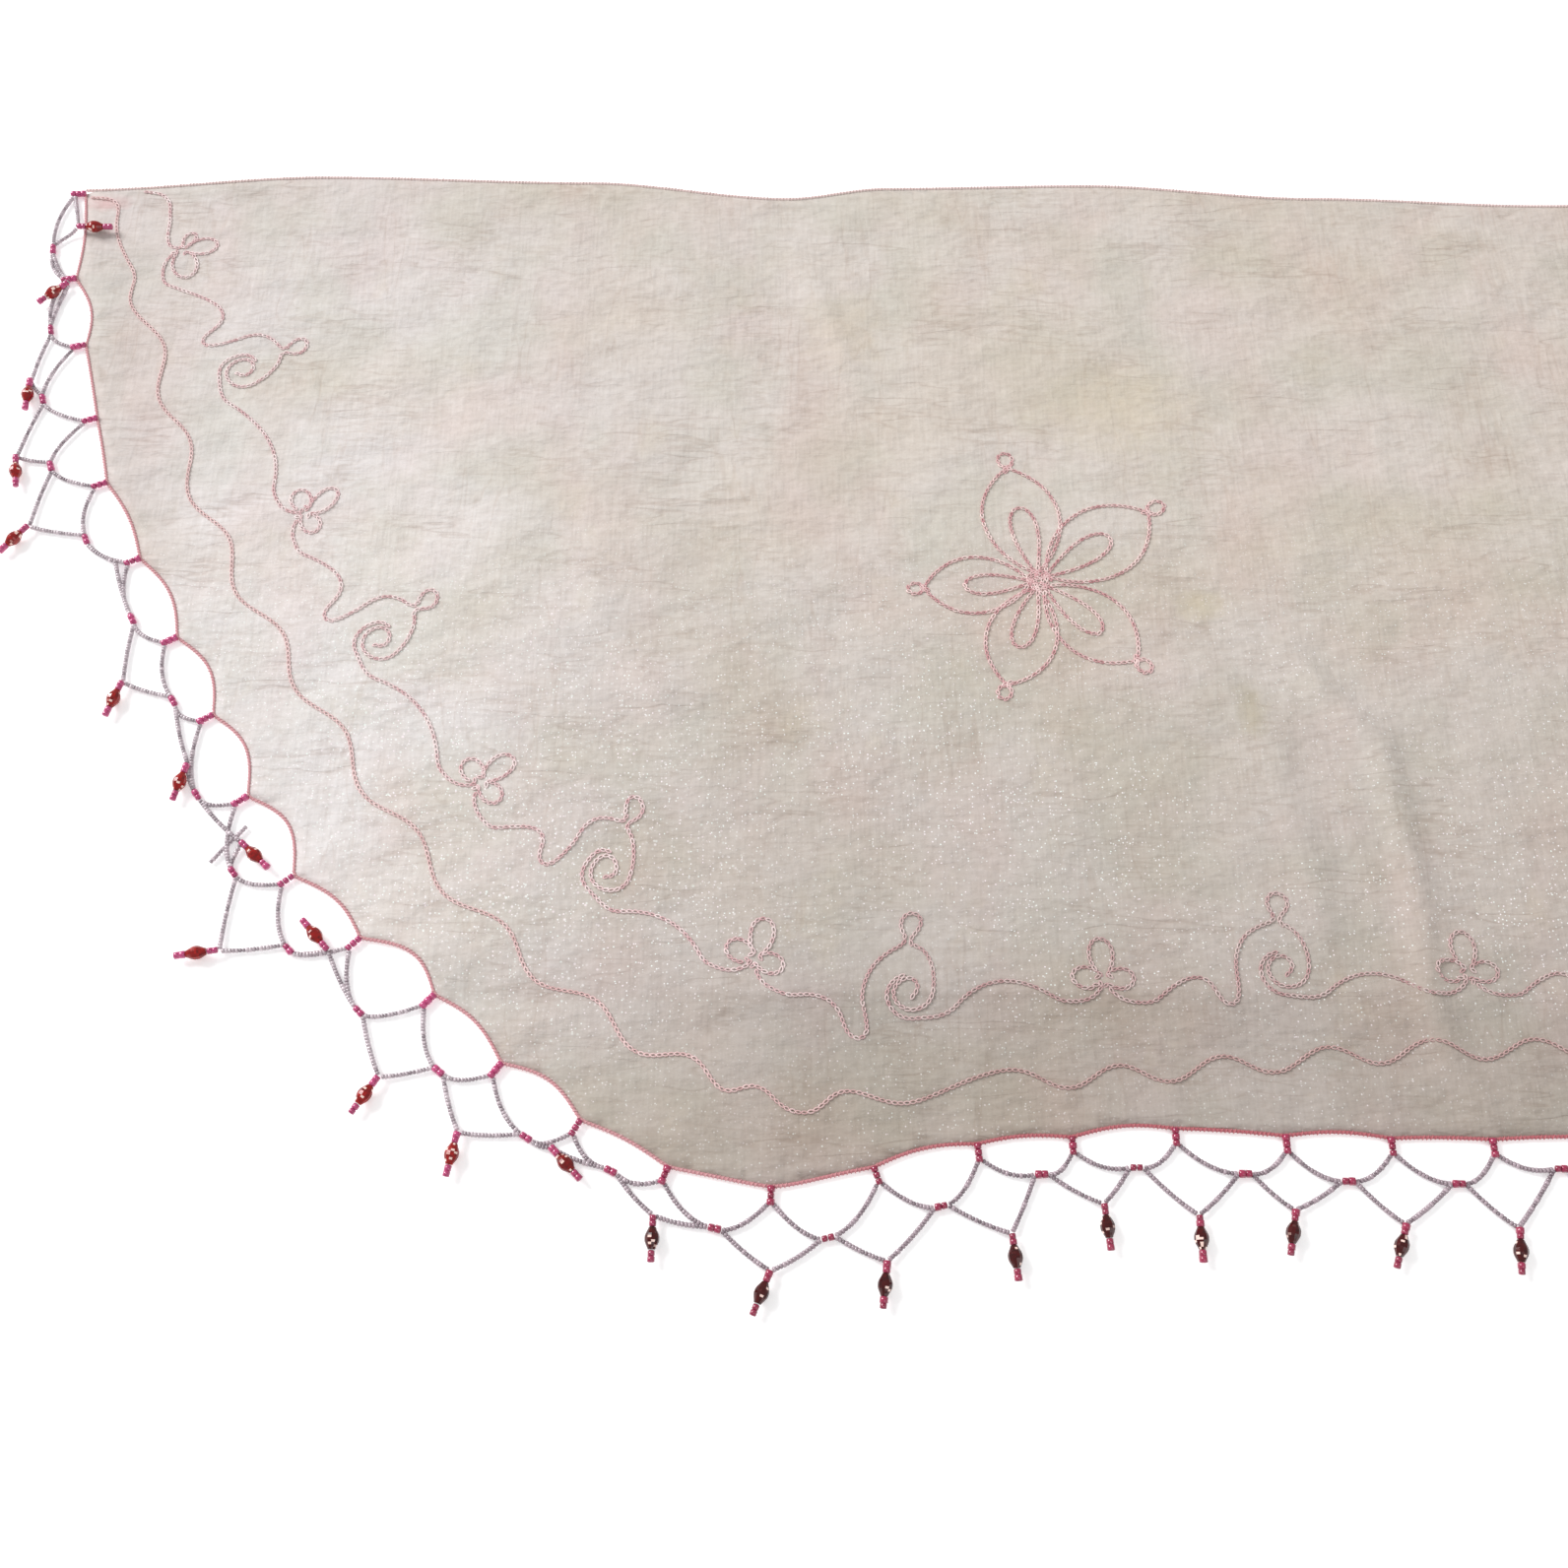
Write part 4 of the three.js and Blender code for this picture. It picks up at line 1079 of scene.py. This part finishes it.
# Each motif with its way along the edge, its distance inward and how far it leans
MOTIFS = [
    (first_trefoil, 49, 47, 0),
    (curl, 140, 64, -0.25),
    (trefoil, 250.5, 74, -0.3),
    (curl, 337.5, 72, -0.27),
    (trefoil, 445, 74.5, 0),
    (curl, 524, 81, -0.42),
    (trefoil, 636, 86, -0.1),
    (curl, 748.5, 54.5, 0.24),
    (trefoil, 823, 60, 0),
    (curl, 894.5, 60.5, 0),
    (trefoil, 977, 63, 0),
    (curl, 1048, 62, 0),
]
HUMP = 11
LEAN_FROM = 14
SCROLL_START = [(-740, 0.5), (-730, -0.9), (-724.6, -6.4), (-722.4, -20.7), (-722.6, -29.5)]


def placed(stroke, along, base, lean):
    """A stroke given as along and across, leant, set down along the edge and a distance inward."""
    spot, forward, outward = edge_frame(along)
    ahead = stroke[:, :1] + lean * np.maximum(stroke[:, 1:] - LEAN_FROM, 0)
    return spot + ahead * forward - (base + stroke[:, 1:]) * outward


# %% The scroll
def bridge(before, after):
    """Hump between two strokes, which leaves one and meets the next in their own directions."""
    start, end, gap = before[-1], after[0], after[0] - before[-1]
    length = np.hypot(*gap)
    inward = min(HUMP, length / 4) * np.array([-gap[1], gap[0]]) / length
    leave, meet = (length / 3 * side / np.hypot(*side) for side in (start - before[-2], after[1] - end))
    return bend_between(start, start + leave + inward, end - meet + inward, end)


def rounded(values, reach):
    """The same values, averaged with their neighbours so that no corner is left in them."""
    return np.convolve(np.pad(values, reach, "edge"), np.ones(2 * reach + 1) / (2 * reach + 1), "valid")


def evened(stroke, step=2.0):
    """The same stroke with points at an even step."""
    way = np.concatenate([[0], np.cumsum(np.hypot(*np.diff(stroke, axis=0).T))])
    kept = np.linspace(0, way[-1], max(int(way[-1] / step), 2) + 1)
    return np.stack([np.interp(kept, way, stroke[:, k]) for k in (0, 1)], 1)


def scroll_half():
    strokes, line = [], np.array(SCROLL_START)
    for motif, along, base, lean in MOTIFS:
        first, *rest = [placed(stroke, along, base, lean) for stroke in motif()]
        line = np.concatenate([line, bridge(line, first)[1:-1], first])
        if rest:
            strokes.append(line)
            line = rest[0]
    centre, handle = np.array([0, line[-1][1] + HUMP]), np.array([14, 0])
    last = bend_between(line[-1], line[-1] + handle, centre - handle, centre)
    strokes.append(np.concatenate([line, last[1:]]))
    return [np.stack([rounded(column, 3) for column in evened(stroke, 1.0).T], 1) for stroke in strokes]


def both_halves(strokes):
    return strokes + [stroke * (-1, 1) for stroke in strokes]


scroll = both_halves(scroll_half())
print(len(scroll), "strokes in the scroll")

# %% The wavy line, as the way along the edge, the waves so far and the distance inward
WAVE = [
    (62, -0.9, 28),
    (83, -0.5, 34),
    (125, 0.15, 39),
    (222, 1.6, 40),
    (345, 3.5, 46.5),
    (475, 5.45, 43.5),
    (511, 6, 43),
    (600, 7.5, 41.5),
    (625, 8, 40.5),
    (648, 8.5, 44),
    (664, 9, 37),
    (705, 9.5, 36.5),
    (722, 10, 28),
    (745, 10.55, 26),
    (784, 11, 26),
    (830, 12.1, 28),
    (877, 13.2, 32.5),
    (924, 14.25, 36.5),
    (960, 15.1, 39),
    (1088, 18, 39),
]
WAVE_SWING = 4.8
WAVE_START = [(-768, -3.7), (-757, -5), (-750.5, -2), (-751, -14)]
WAVE_DOWN = [(-751, -14), (-751, -28), (-747, -34), (-742, -44)]


def wavy_half():
    along = np.arange(62, EDGE_LENGTH / 2 + 1, 3.0)
    knots, waves, inward = (np.array(column, float) for column in zip(*WAVE))
    swing = WAVE_SWING * np.cos(2 * np.pi * rounded(np.interp(along, knots, waves), 3))
    line = edge_place(along, -rounded(np.interp(along, knots, inward), 5) - swing)
    line = evened(np.concatenate([bend_between(*WAVE_START), bend_between(*WAVE_DOWN)[1:], line]), 1.0)
    return [np.stack([rounded(column, 5) for column in line.T], 1)]


wavy = both_halves(wavy_half())

# %% The flowers
FLOWER_AT = (-280, -241)
PETALS = ((100, 1.13), (35, 1.16), (-44.8, 1.04), (-107.9, 1.0), (-176, 0.94))


def flower():
    strokes = []
    for angle, size in PETALS:
        turn = math.radians(angle)
        to_petal = np.array([[math.cos(turn), math.sin(turn)], [-math.sin(turn), math.cos(turn)]])
        left, right = (bend_between((4, 0), (15, side * 17), (42, side * 26), (58, 0)) for side in (1, -1))
        tip = loop_from((57, 0), 0, 8.5, 6, 0.6)
        inner = loop_from((3, 0), 0, 34, 11, 0.1)
        strokes += [size * stroke @ to_petal + FLOWER_AT for stroke in (left, tip, right, inner)]
    strokes.append(spiral(FLOWER_AT, 0, 900, 6, 1, 40))
    return strokes


flowers = both_halves(flower())
print(len(flowers), "strokes in the flowers")

# %% Tree for chain stitches
chain_tree, size = start_tree("chain_stitch", {"Pitch": 0.003, "Seed": 8, "Finish": None})
line = steps_along(chain_tree, size["Paths"], size["Pitch"])
link = add_node(chain_tree, "GeometryNodeJoinGeometry")
for side in (1, -1):
    belly, tip = (0.0012, side * 0.0013, 0.0005), (0.0026, 0, -0.0002)
    half = arc_rod(chain_tree, (-0.0002, 0, 0.0002), belly, tip, 0.00032)
    chain_tree.links.new(half, link.inputs[0])
links = set_along(chain_tree, line.outputs[0], link.outputs[0], size["Seed"], 0.92, 1.12)
finish_tree(chain_tree, tinted(chain_tree, links, size["Seed"]), size["Finish"])


# %% Stitches on the cloth
STITCH_PITCH = 2.5
STITCH_LIFT = 0.2
designs = [
    ("scroll_stitches", scroll, scroll_finish),
    ("wavy_stitches", wavy, line_finish),
    ("flower_stitches", flowers, flower_finish),
]
for name, strokes, finish in designs:
    even = [evened(stroke) for stroke in strokes]
    paths = [lifted(stroke, cloth_height(stroke) + STITCH_LIFT) for stroke in even]
    values = {"Pitch": STITCH_PITCH * MM, "Seed": 8, "Finish": finish}
    into_frame(run_tree(paths_object(name, paths), chain_tree, values, name), ["cloth_panel"])

# %% [markdown]
# ## Floor
# The floor is a plain pale sheet, a hair below the scarf, so that nothing flickers between the two.
# It is lit a little from behind, as a light table is, which keeps the shadows on it faint.

# %% Floor
FLOOR_HALF = 3.0
corners = [(sx * FLOOR_HALF, sy * FLOOR_HALF, -0.0002) for sx, sy in ((-1, -1), (1, -1), (1, 1), (-1, 1))]
floor = mesh_object("floor", corners, [(0, 1, 2, 3)], False)
sockets = {"Roughness": 0.9, "Specular IOR Level": 0.2, "Emission Strength": 0.3}
floor_finish, tree, shader = new_finish("matt_white_paper", sockets)
fibres = noise(tree, stretched(tree, (0.003, 0.003, 0.003)), 3)
paper = blended(tree, fibres, linear("#FBFBFB"), linear("#FFFFFF"))
for socket in ("Base Color", "Emission Color"):
    tree.links.new(paper, shader.inputs[socket])
floor.data.materials.append(floor_finish)
